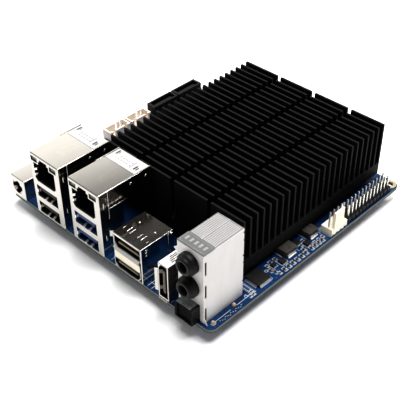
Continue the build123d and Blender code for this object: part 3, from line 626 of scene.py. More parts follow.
def silkscreen():
    """White outlines, pin-one marks and part brackets on the upper face."""
    parts = []
    for low, high in solids("chip_capacitors") + solids("chip_resistors"):
        parts += bracket(low, high)
    for low, high in solids("small_chips"):
        parts += [frame_line(low, high, 0.5, width=0.16), dot(low.x - 0.9, low.y - 0.2, 0.2)]
    for low, high in solids("power_inductors"):
        parts += [mark([(low.x - 0.9, y), (high.x + 0.9, y)]) for y in (low.y - 0.45, high.y + 0.45)]
    for node, margin in (("drive_power_headers", 0.3), ("drive_data_sockets", 0.35)):
        for low, high in solids(node):
            low.x = max(low.x, board_low.x + 0.8)
            parts.append(frame_line(low, high, margin))
    for low, high in (span("fan_header"), span("expansion_header_base")):
        corner = (low.x - 0.4, low.y - 0.4)
        parts += [mark([corner, (high.x - 0.2, corner[1])]), mark([corner, (corner[0], high.y + 0.4)])]
    chip = span("audio_chip")[0]
    parts += marks(chip.x, chip.y, ((-1.6, -1.6, -0.4, -1.6), (-1.6, -1.6, -1.6, -0.4)), 0.16)
    parts.append(dot(chip.x - 1.9, chip.y - 1.3, 0.3))
    for index in range(9):
        x = 1.0 + index * 0.8
        parts += marks(chip.x, chip.y, ((x, -2.9, x, -1.9), (x, -4.6, x, -3.7)), 0.3)
    audio_low, audio_high = span("audio_shield")
    edge_x, start = audio_high.x + 2.1, audio_low.y
    parts += marks(edge_x, start, ((0, 3.7, 0, 11.9), (0, 15.2, 0, 21.7)))
    turns = [math.radians(-100 + 200 * i / 12) for i in range(13)]
    parts.append(mark([(edge_x - 0.2 + 1.1 * math.cos(a), start + 2.7 + 1.1 * math.sin(a)) for a in turns]))
    parts.append(mark([(audio_high.x + 0.5, audio_high.y + 0.6), (edge_x, audio_high.y + 0.6)]))
    for index in range(13):
        x, y = 1.0 + 0.35 * (index % 3), index * 0.95
        parts += marks(edge_x, start, ((x, 5.0 + y, x, 5.5 + y),))
    for x, y in ((56.9, -37.6), (53.4, -22), (57.4, -24)):
        parts.append(ring(x, y, 0.5, 0.72, DECK, PRINT_TOP, 20))
    parts += marks(0, board_low.y, [(x, 0.6, x, 9) for x in (26, 38.8, 5, 28.2)])
    parts += marks(0, 0, ((25.6, -57, 32, -57), (25.6, -45.5, 29, -45.5), (2.6, -48, 7.6, -48),
                          (-21.8, -45, -17.2, -45)))
    piece("printed_marks", {"silkscreen": parts}, slot="solder_mask")


def board_copper():
    """Plated rings round the mounting holes, and round test pads."""
    parts = []
    for x, y in hole_centres():
        for z in (DECK, -COPPER) if y > 0 else (-COPPER,):
            parts.append(ring(x, y, HOLE_RADIUS, PLATED_RADIUS, z, z + COPPER, 40))
            parts += [disc(*via, 0.2, z, z + 1.5 * COPPER, 10) for via in circle(x, y, 2.35, 8)]
    for x, y in middles("heat_sink_screws"):
        parts.append(ring(x, y, 1.35, 3.4, -COPPER, 0, 32))
    for x, y in ((-24.6, -41), (-20.4, -38.4), (5.2, -41), (27, -41.4), (31, -39.8), (28, -37),
                 (52.6, -8), (56.9, -27), (-46.5, -40), (-48, 2), (-45, 15)):
        parts.append(disc(x, y, 0.5, DECK, DECK + COPPER))
    for _ in range(46):
        x, y = random.uniform(-56, 56), random.uniform(-57, 57)
        if not (-24 < y < 14 and abs(x) < 42) and not (x < -44 and 26 < y < 54):
            parts.append(disc(x, y, random.choice((0.4, 0.5, 0.75)), -COPPER, 0))
    piece("plated_pads", {"pad_gold": parts}, slot="gold_contact")


def solder_joint(x, y, radius=0.85, height=0.9):
    """A cone of solder round a cut pin, below the board."""
    shape = ((0, 0), (1, 0), (0.97, 0.06), (0.6, 0.3 * height), (0.42, 0.62 * height), (0.36, 0.9 * height),
             (0.25, height), (0, height))
    return lathe([(r * radius, -along) for r, along in shape], (x, y, 0), "z", 14)


def solder_joints():
    """The soldered pins and shield legs, seen from below, and the audio shield's two legs above."""
    parts = []
    for node in ("expansion_header_pins", "fan_header_pins", "drive_power_pins"):
        parts += [solder_joint(x, y) for x, y in middles(node)]
    for low, high in solids("drive_data_sockets"):
        x, y = ((low + high) / 2).xy
        for pin_index in range(7):
            across = -0.8 + 1.6 * (pin_index % 2)
            parts.append(solder_joint(x + across, y + (pin_index - 3) * 1.27, 0.5, 0.8))
        parts += [solder_joint(x, end, 0.9) for end in (low.y + 1, high.y - 1)]
    for node, rows, columns in (("left_stack_shield", 3, 8), ("right_stack_shield", 3, 8),
                                ("display_stack_shield", 3, 9), ("audio_shield", 3, 3),
                                ("upright_display_shield", 5, 2), ("power_inlet_shield", 1, 2)):
        low, high = span(node)
        for row in range(rows):
            for column in range(columns):
                x = low.x + (column + 1 + 0.25 * (row % 2)) * (high.x - low.x) / (columns + 1.25)
                y = high.y - 1.5 - row * (high.y - low.y - 5) / max(rows, 2)
                parts.append(solder_joint(x, y, 0.6, 0.8))
        parts += [solder_joint(x, y, 1, 1) for x in (low.x + 0.2, high.x - 0.2)
                  for y in (low.y + 3.5, high.y - 3.5)]
    piece("solder_joints", {"solder": parts}, slot="tin_pin")
    low, high = span("audio_shield")
    drop = [(0, 0), (0.85, 0), (0.8, 0.35), (0.62, 0.75), (0.4, 1.05), (0, 1.15)]
    legs = [lathe(drop, (x, y, DECK), "z", 20)
            for x, y in ((high.x + 1.9, low.y + 2.7), (high.x + 1.3, low.y + 14.6))]
    piece("shield_leg_solder", {"tan_solder": legs}, slot="tin_pin")


board_panel()
silkscreen()
board_copper()
solder_joints()


# ---- heat sink and processor
def cross_recess(x, y, z, reach=1.5, half=0.32, depth=0.9):
    """The cutter for a screw's cross recess, in a head that faces down."""
    arm = [Vector(point) for point in ((half, half), (half, reach), (-half, reach))]
    turns = [Matrix.Rotation(math.radians(90 * quarter), 2) for quarter in range(4)]
    outline = [Vector((x, y)) + turn @ point for turn in turns for point in arm]
    return prism(outline, "xy", z - 0.3, z + depth, (), 0)


def sink_screws():
    """Four pan-head screws under the board, with cross recesses."""
    shank = 1.25
    parts = []
    for low, high in solids("heat_sink_screws"):
        x, y = ((low + high) / 2).xy
        head, depth = (high.x - low.x) / 2, -low.z
        profile = [(0, low.z), (head * 0.62, low.z + 0.02), (head * 0.86, low.z + 0.16 * depth),
                   (head * 0.98, low.z + 0.45 * depth), (head, -0.12), (head * 0.97, 0), (shank, 0),
                   (shank, high.z - 0.6), (shank - 0.5, high.z), (0, high.z)]
        parts.append(carved(lathe(profile, (x, y, 0), "z", 40), [cross_recess(x, y, low.z)]))
    piece("sink_screws", {"zinc_steel": parts}, ["heat_sink_screws"])


dress("heat_sink", "finned_heat_sink", "black_anodised", 0.14)
sink_screws()
dress("processor_substrate", "processor_base", "substrate", 0.1)
dress("processor_die", "processor_chip", "silicon", 0.05)
dress("thermal_pad", "heat_pad", "thermal_pad", 0.1)


# ---- network and USB stacks
OPENING_HALF = 6.65
WINDOW_SHIFT = -0.4
USB_FLOORS = (0.7, 9.2)
USB_HEIGHT = 5.8
NETWORK_FLOOR = 17.4
NETWORK_SHOULDER = 26.3
FLOOR_SPRING = ((0.1, 0.05), (1.7, 0.85), (2.3, 0.8), (5.2, 0.15))
USB_SPRING = ((-0.1, 0.05), (0.55, 1.2), (0.5, 1.8), (-0.05, 4.2))
NETWORK_SPRING = ((-0.1, 0.05), (0.5, 1), (0.42, 1.7), (-0.05, 3.8))


def tab_row(low, high, side):
    """The seams, tabs and dimples pressed out of one side wall; side is -1 or 1."""
    face, front = high.x if side > 0 else low.x, low.y
    inner, outer = sorted((-0.2 * side, 0.12 * side))
    seams = ((inner, outer, 4.55, 5.05, 17, 29.9), (inner, outer, 4.8, 14.1, 21.75, 22.15))
    parts = blocks(face, front, DECK, seams, 0.09, 3)
    for y, z, tall in ((2.5, 24.4, 3.6), (2.6, 8.5, 3.4)):
        corners = ((-0.1, -0.5), (0.3, -1 / 6), (0.34, 0.25), (-0.1, 0.5))
        tab = [(side * x, tall * part) for x, part in corners]
        parts.append(prism(moved(tab, face, DECK + z), "xz", front + y - 0.45, front + y + 0.45, (), 0.1, 3))
    for y, z in ((16.5, 27.7), (24.4, 27.4), (16.5, 6)):
        parts.append(dome(face, front + y, DECK + z, 0.7, 0.28 * side, "x"))
    return parts


def side_springs(centre, front, bends, z, half):
    """The springs at the two sides of an opening; each bend is its reach inwards and its depth."""
    return [ribbon([(side * (OPENING_HALF - reach), y) for reach, y in bends], (centre, front),
                   0.16, "xy", z - half, z + half, 0.04) for side in (-1, 1)]


def stack_springs(centre, front):
    """The springs inside the network opening and both USB openings."""
    parts = []
    for z in (22.6, 20):
        parts += side_springs(centre, front, NETWORK_SPRING, DECK + z, 0.55)
    for floor in (DECK + z for z in USB_FLOORS):
        parts += [ribbon(FLOOR_SPRING, (front, floor), 0.16, "yz", x - 0.6, x + 0.6, 0.04)
                  for x in (centre - 1.7, centre + 1.7)]
        parts += side_springs(centre, front, USB_SPRING, floor + 0.42 * USB_HEIGHT, 0.75)
    return parts


def network_sill(centre, front):
    """The moulded rim just inside a network opening."""
    floor, top = DECK + NETWORK_FLOOR, DECK + NETWORK_SHOULDER - 6.0
    corner, rim, half = 1.3, 0.5, OPENING_HALF
    outer = [(half, top), (half, floor + corner), (half - corner, floor)]
    inner = [(half - rim, top), (half - rim, floor + corner + 0.2), (half - corner - 0.2, floor + rim)]
    outline = mirrored(centre, outer, -1) + mirrored(centre, inner, 1)
    return prism(outline, "xz", front + 0.42, front + 1.1, (), 0.06)


def stack(name, usb_look):
    """One network socket over two USB sockets."""
    title = f"{name}_socket_stack"
    low, high = span(f"{name}_stack_shield")
    centre, front = (low.x + high.x) / 2 + WINDOW_SHIFT, low.y
    details = [shell(f"{name}_stack_shield", 0.45, 0.06), *tab_row(low, high, 1), *tab_row(low, high, -1)]
    for x0, x1 in ((high.x - 0.55, high.x + 0.12), (low.x - 0.12, low.x + 0.55)):
        details.append(block(x0, x1, front + 14.5, high.y, high.z - 0.35, high.z + 0.14, 0.1))
    x0, y0 = centre - 0.6, front + 7.4
    outer, inner = (rectangle(x0, x0 + 4.4, y0, y0 + 8.2, inset) for inset in (0, 0.2))
    details.append(prism(outer, "xy", high.z - 0.05, high.z + 0.012, [inner], 0))
    stamps = [(x, x + 0.5, y, y + 1.1, -0.05, 0.012)
              for x in (0.8, 1.85, 2.9) for y in (0.8, 2.55, 4.3, 6.05)]
    details += blocks(x0, y0, high.z, stamps, 0)
    piece(f"{title}_shield", {"tin_shield": details}, [f"{name}_stack_shield"])
    piece(f"{title}_springs", {"spring_steel": stack_springs(centre, front)}, slot="tin_shield")
    dress(f"{name}_stack_body", f"{title}_body", "black_plastic", 0.08,
          black_plastic=[network_sill(centre, front)])
    for part, look, radius in (("contacts", "gold_contact", 0.04), ("usb_inserts", usb_look, 0.12),
                               ("usb_contacts", "gold_contact", 0.04)):
        dress(f"{name}_stack_{part}", f"{title}_{part}", look, radius)
    lenses, frames = [], []
    for low, high in solids(f"{name}_stack_lights"):
        x0, x1, z0, z1 = low.x + 0.08, high.x - 0.08, low.z + 0.08, high.z - 0.08
        hole = rounded(x0 + 0.45, x1 - 0.45, z0 + 0.4, z1 - 0.4, 0.15, 3)
        frames.append(prism(rounded(x0, x1, z0, z1, 0.1, 3), "xz", low.y - 0.25, high.y, [hole], 0.05))
        lenses.append(block(x0 + 0.4, x1 - 0.4, low.y, high.y, z0 + 0.35, z1 - 0.35, 0.12, 3))
    piece(f"{title}_lights", {"light_pipe": lenses, "black_plastic": frames}, [f"{name}_stack_lights"])


def labels():
    """Two paper labels with a few generic dashes in place of print."""
    dashes = [(1.2, 1.9, 4.2, 7), (2.3, 2.6, 4.9, 6.3), (14, 14.8, 1.8, 4.4), (15.2, 15.8, 2, 3.8),
              (12.2, 12.4, 1.6, 6)]
    for x in (4.4, 6, 7.6, 9.2, 10.8):
        dashes += [(x, x + 1, 4.2, 4.4), (x + 0.2, x + 1.1, 2.5, 2.7)]
    paper, ink = [], []
    for low, high in solids("stack_labels"):
        paper.append(prism(rounded(low.x, high.x, low.y, high.y, 0.35, 4), "xy", low.z, high.z, (), 0.02, 1))
        ink += blocks(low.x, low.y, high.z, [(*dash, -0.005, 0.012) for dash in dashes], 0)
    piece("paper_labels", {"label_paper": paper, "label_ink": ink}, ["stack_labels"])


stack("left", "black_plastic")
stack("right", "blue_plastic")
labels()

# ---- display connectors
def display_stack():
    """Two display sockets, one above the other, in one open-fronted shield with flared lips."""
    low, high = span("display_stack_shield")
    front, centre = low.y, (low.x + high.x) / 2
    mouth = block(low.x + 0.55, high.x - 0.55, front - 1, front + 0.45, DECK + 0.4, high.z - 0.55, 0)
    parts = [shell("display_stack_shield", 0.3, 0.04, [mouth])]
    parts += [dome(low.x + x, front + y, high.z, 0.55, 0.25) for x, y in ((3.5, 10.9), (12.2, 10.8))]
    for roof, reach, right in ((16.4, 1, 3.9), (4.9, 0.8, 2.6)):
        bends = ((0.1, -0.05), (1.4, -reach), (2.2, -0.95 * reach), (5, -0.1))
        parts += [ribbon(bends, (front, DECK + roof), 0.18, "yz", x - 0.8, x + 0.8, 0.04)
                  for x in (centre - 3.4, centre + right)]
    slits = [(-0.1, 0.06, 2, 4.2, z, z + 0.2) for z in (13.2, 14.5, 15.8)]
    for rows, radius in (([(-0.1, 0.14, 13.9, 14.4, 5.5, 17)], 0.08),
                         ([(-0.1, 0.5, 15.2, 16.6, 15.8, 16.9)], 0.12), (slits, 0.04)):
        parts += blocks(high.x, front, DECK, rows, radius)
    # The flared lips take the lighter, matt nickel paint instead of the tin: a lit copy of the same sheet,
    # painted highlight.
    lips = []
    for bends, x0, x1 in ((((0.5, 16.75), (0.1, 16.75), (-0.5, 17.25)), 0.3, 1.4),
                          (((0.5, 10.75), (0, 10.65), (-0.55, 10.1)), 0.3, 1.3),
                          (((0.5, 9.35), (-0.1, 9.2), (-0.3, 8.95)), 0.6, 1.6)):
        lips.append(ribbon(bends, (front, DECK), 0.34, "yz", low.x + x0, high.x - x1, 0.1, 3))
    flare = ((0.2, 1.2), (-0.3, 0.3), (-1.1, -0.3))
    lips.append(ribbon(flare, (low.x, front), 0.3, "xy", DECK + 14.6, DECK + 17.2, 0.08, 3))
    lower = [(-6, 0.4), (5, 0.4), (6.6, 2), (6.6, 4.9), (-7.6, 4.9), (-7.6, 2)]
    upper = [(-5.9, 10.9), (7.3, 10.9), (7.3, 16.4), (-7.3, 16.4), (-7.3, 12.9)]
    for outline in (lower, upper):
        inner = moved(outline, centre, DECK)
        middle = sum((Vector(point) for point in inner), Vector((0, 0))) / len(inner)
        outer = [(x + math.copysign(0.26, x - middle.x), z + math.copysign(0.22, z - middle.y))
                 for x, z in inner]
        lips.append(prism(outer, "xz", front - 0.12, front + 0.45, [inner], 0.06))
    piece("display_stack_cover", {"tin_shield": parts, "nickel_shield": lips}, ["display_stack_shield"])
    band = block(low.x + 0.45, high.x - 1.3, front - 0.12, front + 0.3, DECK + 5.3, DECK + 8.6, 0.1)
    # The pads inside the mouths take the darker gold copy: painted shade.
    tongues, pads = [], []
    pad_rows = [(0.8 + k, 1.3 + k, 0.22, 1.8, 0.55, 1.05) for k in range(10)]
    for x, wide, floor in ((centre - 6.1, 11.2, DECK + 2.5), (centre - 5.2, 11.4, DECK + 13.1)):
        tongues += blocks(x, front, floor, [(0, wide, 0.3, 1.95, -0.1, 1)], 0.1)
        pads += blocks(x, front, floor, pad_rows, 0.04, 1)
    dress("display_stack_body", "display_stack_core", "black_plastic", 0.08,
          cream_plastic=[band], tongue_plastic=tongues, dull_gold=pads)
    dress("display_stack_contacts", "display_stack_wires", "gold_contact", 0.03)


def upright_display():
    """A display socket standing on its edge, with flared lips at its mouth."""
    low, high = span("upright_display_shield")
    front = low.y
    slots = [(x, x + 0.42, y, y + long, -0.7, 1)
             for x, y, long in ((1.1, 5, 3.4), (2, 4.2, 4.2), (2.9, 3.6, 4.4), (3.8, 3.4, 4))]
    windows = [(-0.7, 1, 3, 7, z, z + 0.35) for z in (6, 9.2, 12.4)]
    cutters = blocks(low.x, front, high.z, slots, 0) + blocks(high.x, front, DECK, windows, 0)
    side, sole = (low.x, front), (front, DECK)
    flare, lip = ((0.1, 1), (-0.4, 0.1), (-1.5, -0.25)), ((0.5, -0.35), (0.1, -0.15), (-0.25, 0.15))
    teeth, bends = ((0.5, 1.5), (0, 1.2), (-0.4, 0.6)), ((0.35, 0.1), (1.35, 1.4), (1.3, 2.2), (0.5, 5))
    parts = [shell("upright_display_shield", 0.3, 0.05, cutters),
             ribbon(flare, side, 0.26, "xy", DECK + 3.6, DECK + 14.8, 0.06),
             ribbon(lip, (front, high.z), 0.24, "yz", low.x + 1.6, high.x - 0.5)]
    for x in (0.5, 1.65, 2.8, 3.95):
        parts.append(ribbon(teeth, sole, 0.26, "yz", low.x + x, low.x + x + 0.75, 0.06))
    # The springs inside the mouth take the dark nickel copy: painted shade.
    springs = [ribbon(bends, side, 0.18, "xy", DECK + z - 0.9, DECK + z + 0.9, 0.04) for z in (5.6, 13.6)]
    cover = piece("upright_display_cover", {"tin_shield": parts, "nickel_painted_shade": springs},
                  ["upright_display_shield"])
    # The flat top takes the lighter, matt nickel paint instead of the tin: a lit copy of the same sheet,
    # painted light.
    repaint(cover, "nickel_shield", lambda middle, normal: (
        normal.z > 0.9 and abs(middle.z - high.z) < 0.02))
    x = (low.x + high.x) / 2 + 0.3
    tongue = blocks(x, front, DECK, [(-0.55, 0.55, 0.3, 1.95, 4, 15.2)], 0.1)
    # The pads inside the mouth take the darker gold copy: painted shade.
    pads = blocks(x, front, DECK, [(-0.6, -0.1, 0.22, 1.8, 4.9 + k, 5.4 + k) for k in range(10)], 0.04, 1)
    dress("upright_display_body", "upright_display_core", "black_plastic", 0.03,
          tongue_plastic=tongue, dull_gold=pads)
    dress("upright_display_contacts", "upright_display_wires", "gold_contact", 0.03)


display_stack()
upright_display()


# ---- audio stack
def places(start, stop, pitch):
    """Numbers from a start to before a stop, one pitch apart."""
    found = []
    while start < stop:
        found.append(start)
        start += pitch
    return found


def audio_cover():
    """The tall shield, ribbed at its sides and dotted on top, with notches down its back edges."""
    low, high = span("audio_shield")
    cap_low, cap_high = span("audio_cap")
    front, cap_back = low.y, cap_high.y
    seam = low.x + 5.85
    cutters = [block(seam - 0.1, seam + 0.1, cap_back + 0.2, high.y + 1, high.z - 0.12, high.z + 1, 0)]
    for z, depth in ((30.6, 0.7), (27, 0.5), (19.6, 0.8), (16.2, 0.5), (7, 0.7), (3, 0.5)):
        for x in (low.x, high.x):
            cutters += blocks(x, high.y, DECK, [(-0.6, 0.6, -depth, 1, z, z + 0.9)], 0)
    parts = [shell("audio_shield", 0.25, 0.05, cutters)]
    for side, face in ((1, high.x), (-1, low.x)):
        inner, outer = sorted((face - side * 0.1, face + side * 0.025))
        parts += [block(inner, outer, y, y + 0.34, DECK + 0.8, high.z - 0.5, 0)
                  for y in places(front + 2, high.y - 1, 0.65)]
    for y in places(cap_back + 0.7, high.y - 0.8, 0.62):
        parts += [block(x, x + 0.5, y, y + 0.3, high.z - 0.1, high.z + 0.1, 0)
                  for x in places(low.x + 0.7, high.x - 0.9, 0.85) if abs(x + 0.3 - seam) > 0.5]
    for x, horn in ((low.x, ((0.1, 30.4), (-1.7, 28.7), (0.1, 27.4))),
                    (high.x, ((-0.2, 3), (1.6, 0.25), (1.6, 0.05), (-0.2, 0.05)))):
        parts.append(prism(moved(horn, x, DECK), "xz", front, front + 0.3))
    cover = piece("audio_cover", {"nickel_shield": parts}, ["audio_shield"])
    # Painted shade: the left-facing sides and the flat top between the raised dots behind the cap take the
    # dark nickel copy.
    repaint(cover, "nickel_painted_shade", lambda middle, normal: (
        normal.x < -0.9 or (normal.z > 0.9 and abs(middle.z - high.z) < 0.02 and middle.y > cap_back)))
    dress("audio_body", "audio_core", "black_plastic", 0.06)
    bars = blocks(cap_low.x, cap_low.y, cap_high.z,
                  [(x, x + 1, 2, 4.1, -0.1, 0.16) for x in (1.7, 3.9, 6.1, 8.3, 10.5)], 0.12)
    outer, inner = (rounded(cap_low.x + m, cap_high.x - m, cap_low.y + m, cap_back - m, 0.35, 4)
                    for m in (0.5, 0.8))
    border = prism(outer, "xy", cap_high.z - 0.1, cap_high.z + 0.05, [inner], 0.04, 1)
    dress("audio_cap", "audio_top_cap", "grey_cap", 0.16, segments=3, cap_mark=bars, grey_cap=[border])
    dress("audio_jack_contacts", "audio_jack_springs", "gold_contact", 0.04)


def jack_barrels():
    """Two black barrels, each stepped, ringed and chamfered at its mouth."""
    bore = next(m for m in frame["record"]["mounts"] if m["name"] == "audio_jack_upper")["dims"]["r_mm"]
    face = span("audio_shield")[0].y
    parts = []
    for low, high in solids("audio_jack_barrels"):
        middle, radius = (low + high) / 2, (high.x - low.x) / 2
        mouth = [(bore, 0.9), (bore + 0.45, 0.25), (bore + 0.55, 0.02), (bore + 0.75, 0), (3.05, 0),
                 (3.35, 0.08), (3.6, 0.35), (3.7, 0.8), (3.85, 1.3), (radius - 0.3, 1.7),
                 (radius - 0.08, 2), (radius, 2.4)]
        profile = [(bore, high.y), *moved(mouth, 0, low.y), (radius, face - 0.35), (radius - 0.15, face),
                   (3.2, face), (3.2, high.y)]
        parts.append(lathe([(r, y - middle.y) for r, y in profile], middle, "y", 64, True))
    piece("audio_jack_tubes", {"black_plastic": parts}, ["audio_jack_barrels"])


def domed_pin(radius, length, nose):
    """The profile of a turned pin whose front end is domed, by rows of part radius and depth."""
    return [(0, -length / 2), *((radius * r, -length / 2 + y) for r, y in nose), (radius, length / 2),
            (0, length / 2)]


def optical_port():
    """The optical socket's housing, its shutter and its lens; the housing's top is painted lighter as a
    painted sheen, and the front faces darker as painted shade.
    """
    low, high = span("optical_housing")
    ridges = blocks((low.x + high.x) / 2, low.y, high.z,
                    [(-3, 3, y, y + 0.25, -0.05, 0.08) for y in (0.9, 2.6)], 0.04)
    # Painted sheen: the ridges and the housing's flat top take the lighter grey paint.
    housing = dress("optical_housing", "optical_port_housing", "black_plastic", 0.14, gloss_black=ridges)
    repaint(housing, "gloss_black", lambda middle, normal: normal.z > 0.9 and middle.z > high.z - 0.2)
    flap = dress("optical_shutter", "optical_flap", "black_plastic", 0.08, "optical_shutter")
    # Painted shade: the front faces of housing and shutter take the darker copy of the black plastic.
    for obj in (housing, flap):
        repaint(obj, "matt_black_painted_shade", lambda middle, normal: normal.y < -0.8)
    low, high = span("optical_lens")
    depth = high.y - low.y
    nose = ((0.5, 0.06 * depth), (0.85, 0.3 * depth), (1, depth / 2 + 0.1))
    lens = lathe(domed_pin((high.x - low.x) / 2, depth, nose), (low + high) / 2, "y", 32)
    piece("optical_window", {"clear_lens": [lens]}, ["optical_lens"])


audio_cover()
jack_barrels()
optical_port()


# ---- power inlet and headers
def power_inlet():
    """The power inlet: a shield, a lined bore, a domed pin and its side spring."""
    low, high = span("power_inlet_shield")
    front = low.y
    parts = [shell("power_inlet_shield", 0.35, 0.06)]
    for x, seam in ((high.x, (-0.1, 0.12)), (low.x, (-0.12, 0.1))):
        parts += blocks(x, front, DECK, [(*seam, 8.6, 9, 1, 9)], 0.05)
    parts += blocks(low.x, front, high.z, [(2.2, high.x - low.x - 2.2, 9.2, 9.5, -0.05, 0.08)], 0.04)
    piece("power_inlet_cover", {"tin_shield": parts}, ["power_inlet_shield"])
    dress("power_inlet_body", "power_inlet_core", "black_plastic", 0.06)
    low, high = span("power_inlet_pin")
    centre = (low + high) / 2
    profile = domed_pin((high.x - low.x) / 2, high.y - low.y, ((0.5, 0.12), (0.85, 0.4), (1, 0.8)))
    piece("power_inlet_post", {"tin_pin": [lathe(profile, centre, "y", 32)]}, ["power_inlet_pin"])
    leaves = []
    for start, stop in ((95, 160), (200, 235), (285, 340), (20, 55)):
        for reach, depth in ((3, 0.15), (2.75, 0.7)):
            turns = [math.radians(start + (stop - start) * k / 8) for k in range(9)]
            path = [(reach * math.cos(a), reach * math.sin(a)) for a in turns]
            y = front + depth
            leaves.append(ribbon(path, (centre.x, centre.z), 0.3, "xz", y, y + 0.6, 0.06))
    dress("power_inlet_spring", "power_inlet_leaf", "spring_steel", 0.05, spring_steel=leaves)


def pin(low, high, taper=0.45):
    """A square pin with a tapered tip."""
    bm = block(low.x, high.x, low.y, high.y, low.z, high.z, 0)
    tops = [v for v in bm.verts if v.co.z > high.z - 0.01]
    faces = [f for f in bm.faces if all(v in tops for v in f.verts)]
    bmesh.ops.inset_region(bm, faces=faces, thickness=(high.x - low.x) * 0.27, use_even_offset=True)
    for vert in tops:
        vert.co.z = high.z - taper
    return soften(bm, 0.04, 1, 60)


def pins(node, name):
    """Every pin of a header."""
    piece(name, {"tin_pin": [pin(low, high) for low, high in solids(node)]}, [node])


def notched(node, name, look, cutters, radius):
    """A header with notches cut into it."""
    piece(name, {look: [soften(carved(cad_solid(node), cutters), radius)]}, [node], slot="cream_plastic")


power_inlet()
dress("drive_data_sockets", "drive_data_ports", "black_plastic", 0.12)
dress("drive_data_contacts", "drive_data_wires", "gold_contact", 0.03)
wall_slots = ((-1, 1, 7.2, 8.3, 2.4, 8), (-1, 1, 10, 10.7, 2.4, 8))
notched("drive_power_headers", "drive_power_shrouds", "warm_plastic", [
    slot for low, high in solids("drive_power_headers") for slot in blocks(*low, wall_slots, 0)], 0.12)
pins("drive_power_pins", "drive_power_posts")
fan_face = span("fan_header")[1].x
notched("fan_header", "fan_header_body", "cream_plastic", [
    block(fan_face - 1, fan_face + 0.45, y - 0.45, y + 0.45, DECK - 1, DECK + 0.75, 0)
    for x, y in middles("fan_header_pins")], 0.1)
pins("fan_header_pins", "fan_header_posts")
dress("expansion_header_base", "expansion_header_strip", "black_plastic", 0.08)
pins("expansion_header_pins", "expansion_header_posts")


# ---- surface parts
def package(low, high, spot, inset, sunk, radius, segments):
    """A moulded package with a dimple at pin one."""
    dimple = lathe([(0, -sunk), (spot, -sunk), (spot, 0.5), (0, 0.5)],
                   (low.x + inset, low.y + inset, high.z), "z", segments)
    bm = carved(block(low.x, high.x, low.y, high.y, low.z, high.z, 0), [dimple])
    return soften(bm, radius, 2, 60)


def surface_chips():
    """The small integrated circuits, with solder pads showing at two sides."""
    bodies, pads = [], []
    for low, high in solids("small_chips"):
        spot = min(0.35, (high.x - low.x) * 0.12)
        bodies.append(package(low, high, spot, spot * 2.2, 0.08, 0.1, 20))
        count = max(3, int((high.y - low.y) / 0.55))
        step = (high.y - low.y - 0.4) / count
        for index in range(count):
            y = low.y + 0.2 + (index + 0.5) * step
            for x0, x1 in ((low.x - 0.28, low.x + 0.05), (high.x - 0.05, high.x + 0.28)):
                pads.append(block(x0, x1, y - step * 0.28, y + step * 0.28, low.z, low.z + 0.22, 0.03, 1))
    piece("small_chip_packages", {"chip_epoxy": bodies, "solder": pads}, ["small_chips"])


def gull_wing(low, high, hub):
    """One bent lead, from the package's side down to its pad."""
    along = 0 if high.x - low.x > high.y - low.y else 1
    across = 1 - along
    out = 1 if low[along] + high[along] > 2 * hub[along] else -1
    inner = low[along] if out > 0 else high[along]
    path = [(out * reach, z) for reach, z in ((-0.15, 0.72), (0.22, 0.72), (0.48, 0.11), (1, 0.09))]
    return ribbon(path, (inner, low.z), 0.14, ("xz", "yz")[along], low[across], high[across], 0)


def codec():
    """The flat-pack chip beside the audio stack, and its leads."""
    low, high = span("audio_chip")
    body = package(low, high, 0.45, 1.1, 0.09, 0.12, 24)
    piece("audio_chip_package", {"chip_epoxy": [body]}, ["audio_chip"])
    leads = [gull_wing(*ends, (low + high) / 2) for ends in solids("audio_chip_leads")]
    piece("audio_chip_legs", {"tin_pin": leads}, ["audio_chip_leads"])


def two_ended_part(length, width, height, place, turned=False):
    """The body and the two metal caps of a small part, with solder fillets, on either face of the board."""
    cap, half, side = 0.24 * length, length / 2, width / 2
    body = block(0.5 * cap - half, half - 0.5 * cap, 0.03 - side, side - 0.03, 0, height - 0.03, 0.04)
    caps = [block(x0, x0 + cap, -side, side, 0, height, 0.09) for x0 in (-half, half - cap)]
    for way in (-1, 1):
        wedge = [(way * (half - 0.02), 0), (way * (half + 0.3), 0), (way * (half - 0.02), 0.55 * height)]
        caps.append(prism(wedge, "xz", 0.06 - side, side - 0.06, (), 0))
    spin = Matrix.Rotation(math.radians(90 if turned else 0), 4, "Z")
    flip = Matrix.Rotation(math.radians(0 if place.z > 0 else 180), 4, "X")
    caps = joined(caps)
    for bm in (body, caps):
        bmesh.ops.transform(bm, matrix=Matrix.Translation(place) @ flip @ spin, verts=bm.verts)
    return body, caps


def two_ended(node, name, look):
    """The small two-ended parts of one node."""
    made = [two_ended_part(*(high - low), Vector((*((low + high) / 2).xy, low.z)))
            for low, high in solids(node)]
    bodies, caps = zip(*made)
    piece(name, {look: bodies, "solder": caps}, [node])


def taken(upper):
    """The footprints of the nodes that stand on one face of the board."""
    found = []
    for node in frame["nodes"]:
        for low, high in solids(node):
            above, below = high.z > DECK + 0.1 and low.z < DECK + 8, low.z < -0.1
            if node != "circuit_board" and (above if upper else below):
                found.append((low.x, high.x, low.y, high.y))
    return found


def scattered_rows(areas, upper, tries):
    """Corners, sizes and counts of short rows of small parts, clear of everything else on that face."""
    used, rows = taken(upper), []
    keep_clear = hole_centres() if upper else hole_centres() + middles("heat_sink_screws")
    used += [(x - 4, x + 4, y - 4, y + 4) for x, y in keep_clear]
    for _ in range(tries):
        x0, x1, y0, y1 = random.choice(areas)
        x, y = random.uniform(x0, x1), random.uniform(y0, y1)
        count, turned, length = random.randint(2, 6), random.random() < 0.5, random.choice((1, 1.6))
        long = 0.95 * length * count
        wide, tall = (length, long) if turned else (long, length)
        left, right, front, back = x - 0.6, x + wide + 0.6, y - 0.6, y + tall + 0.6
        clear = all(right < a or left > b or back < c or front > d for a, b, c, d in used)
        if clear and right < x1 and back < y1:
            used.append((left, right, front, back))
            rows.append((x, y, wide, tall, count, turned))
    return rows


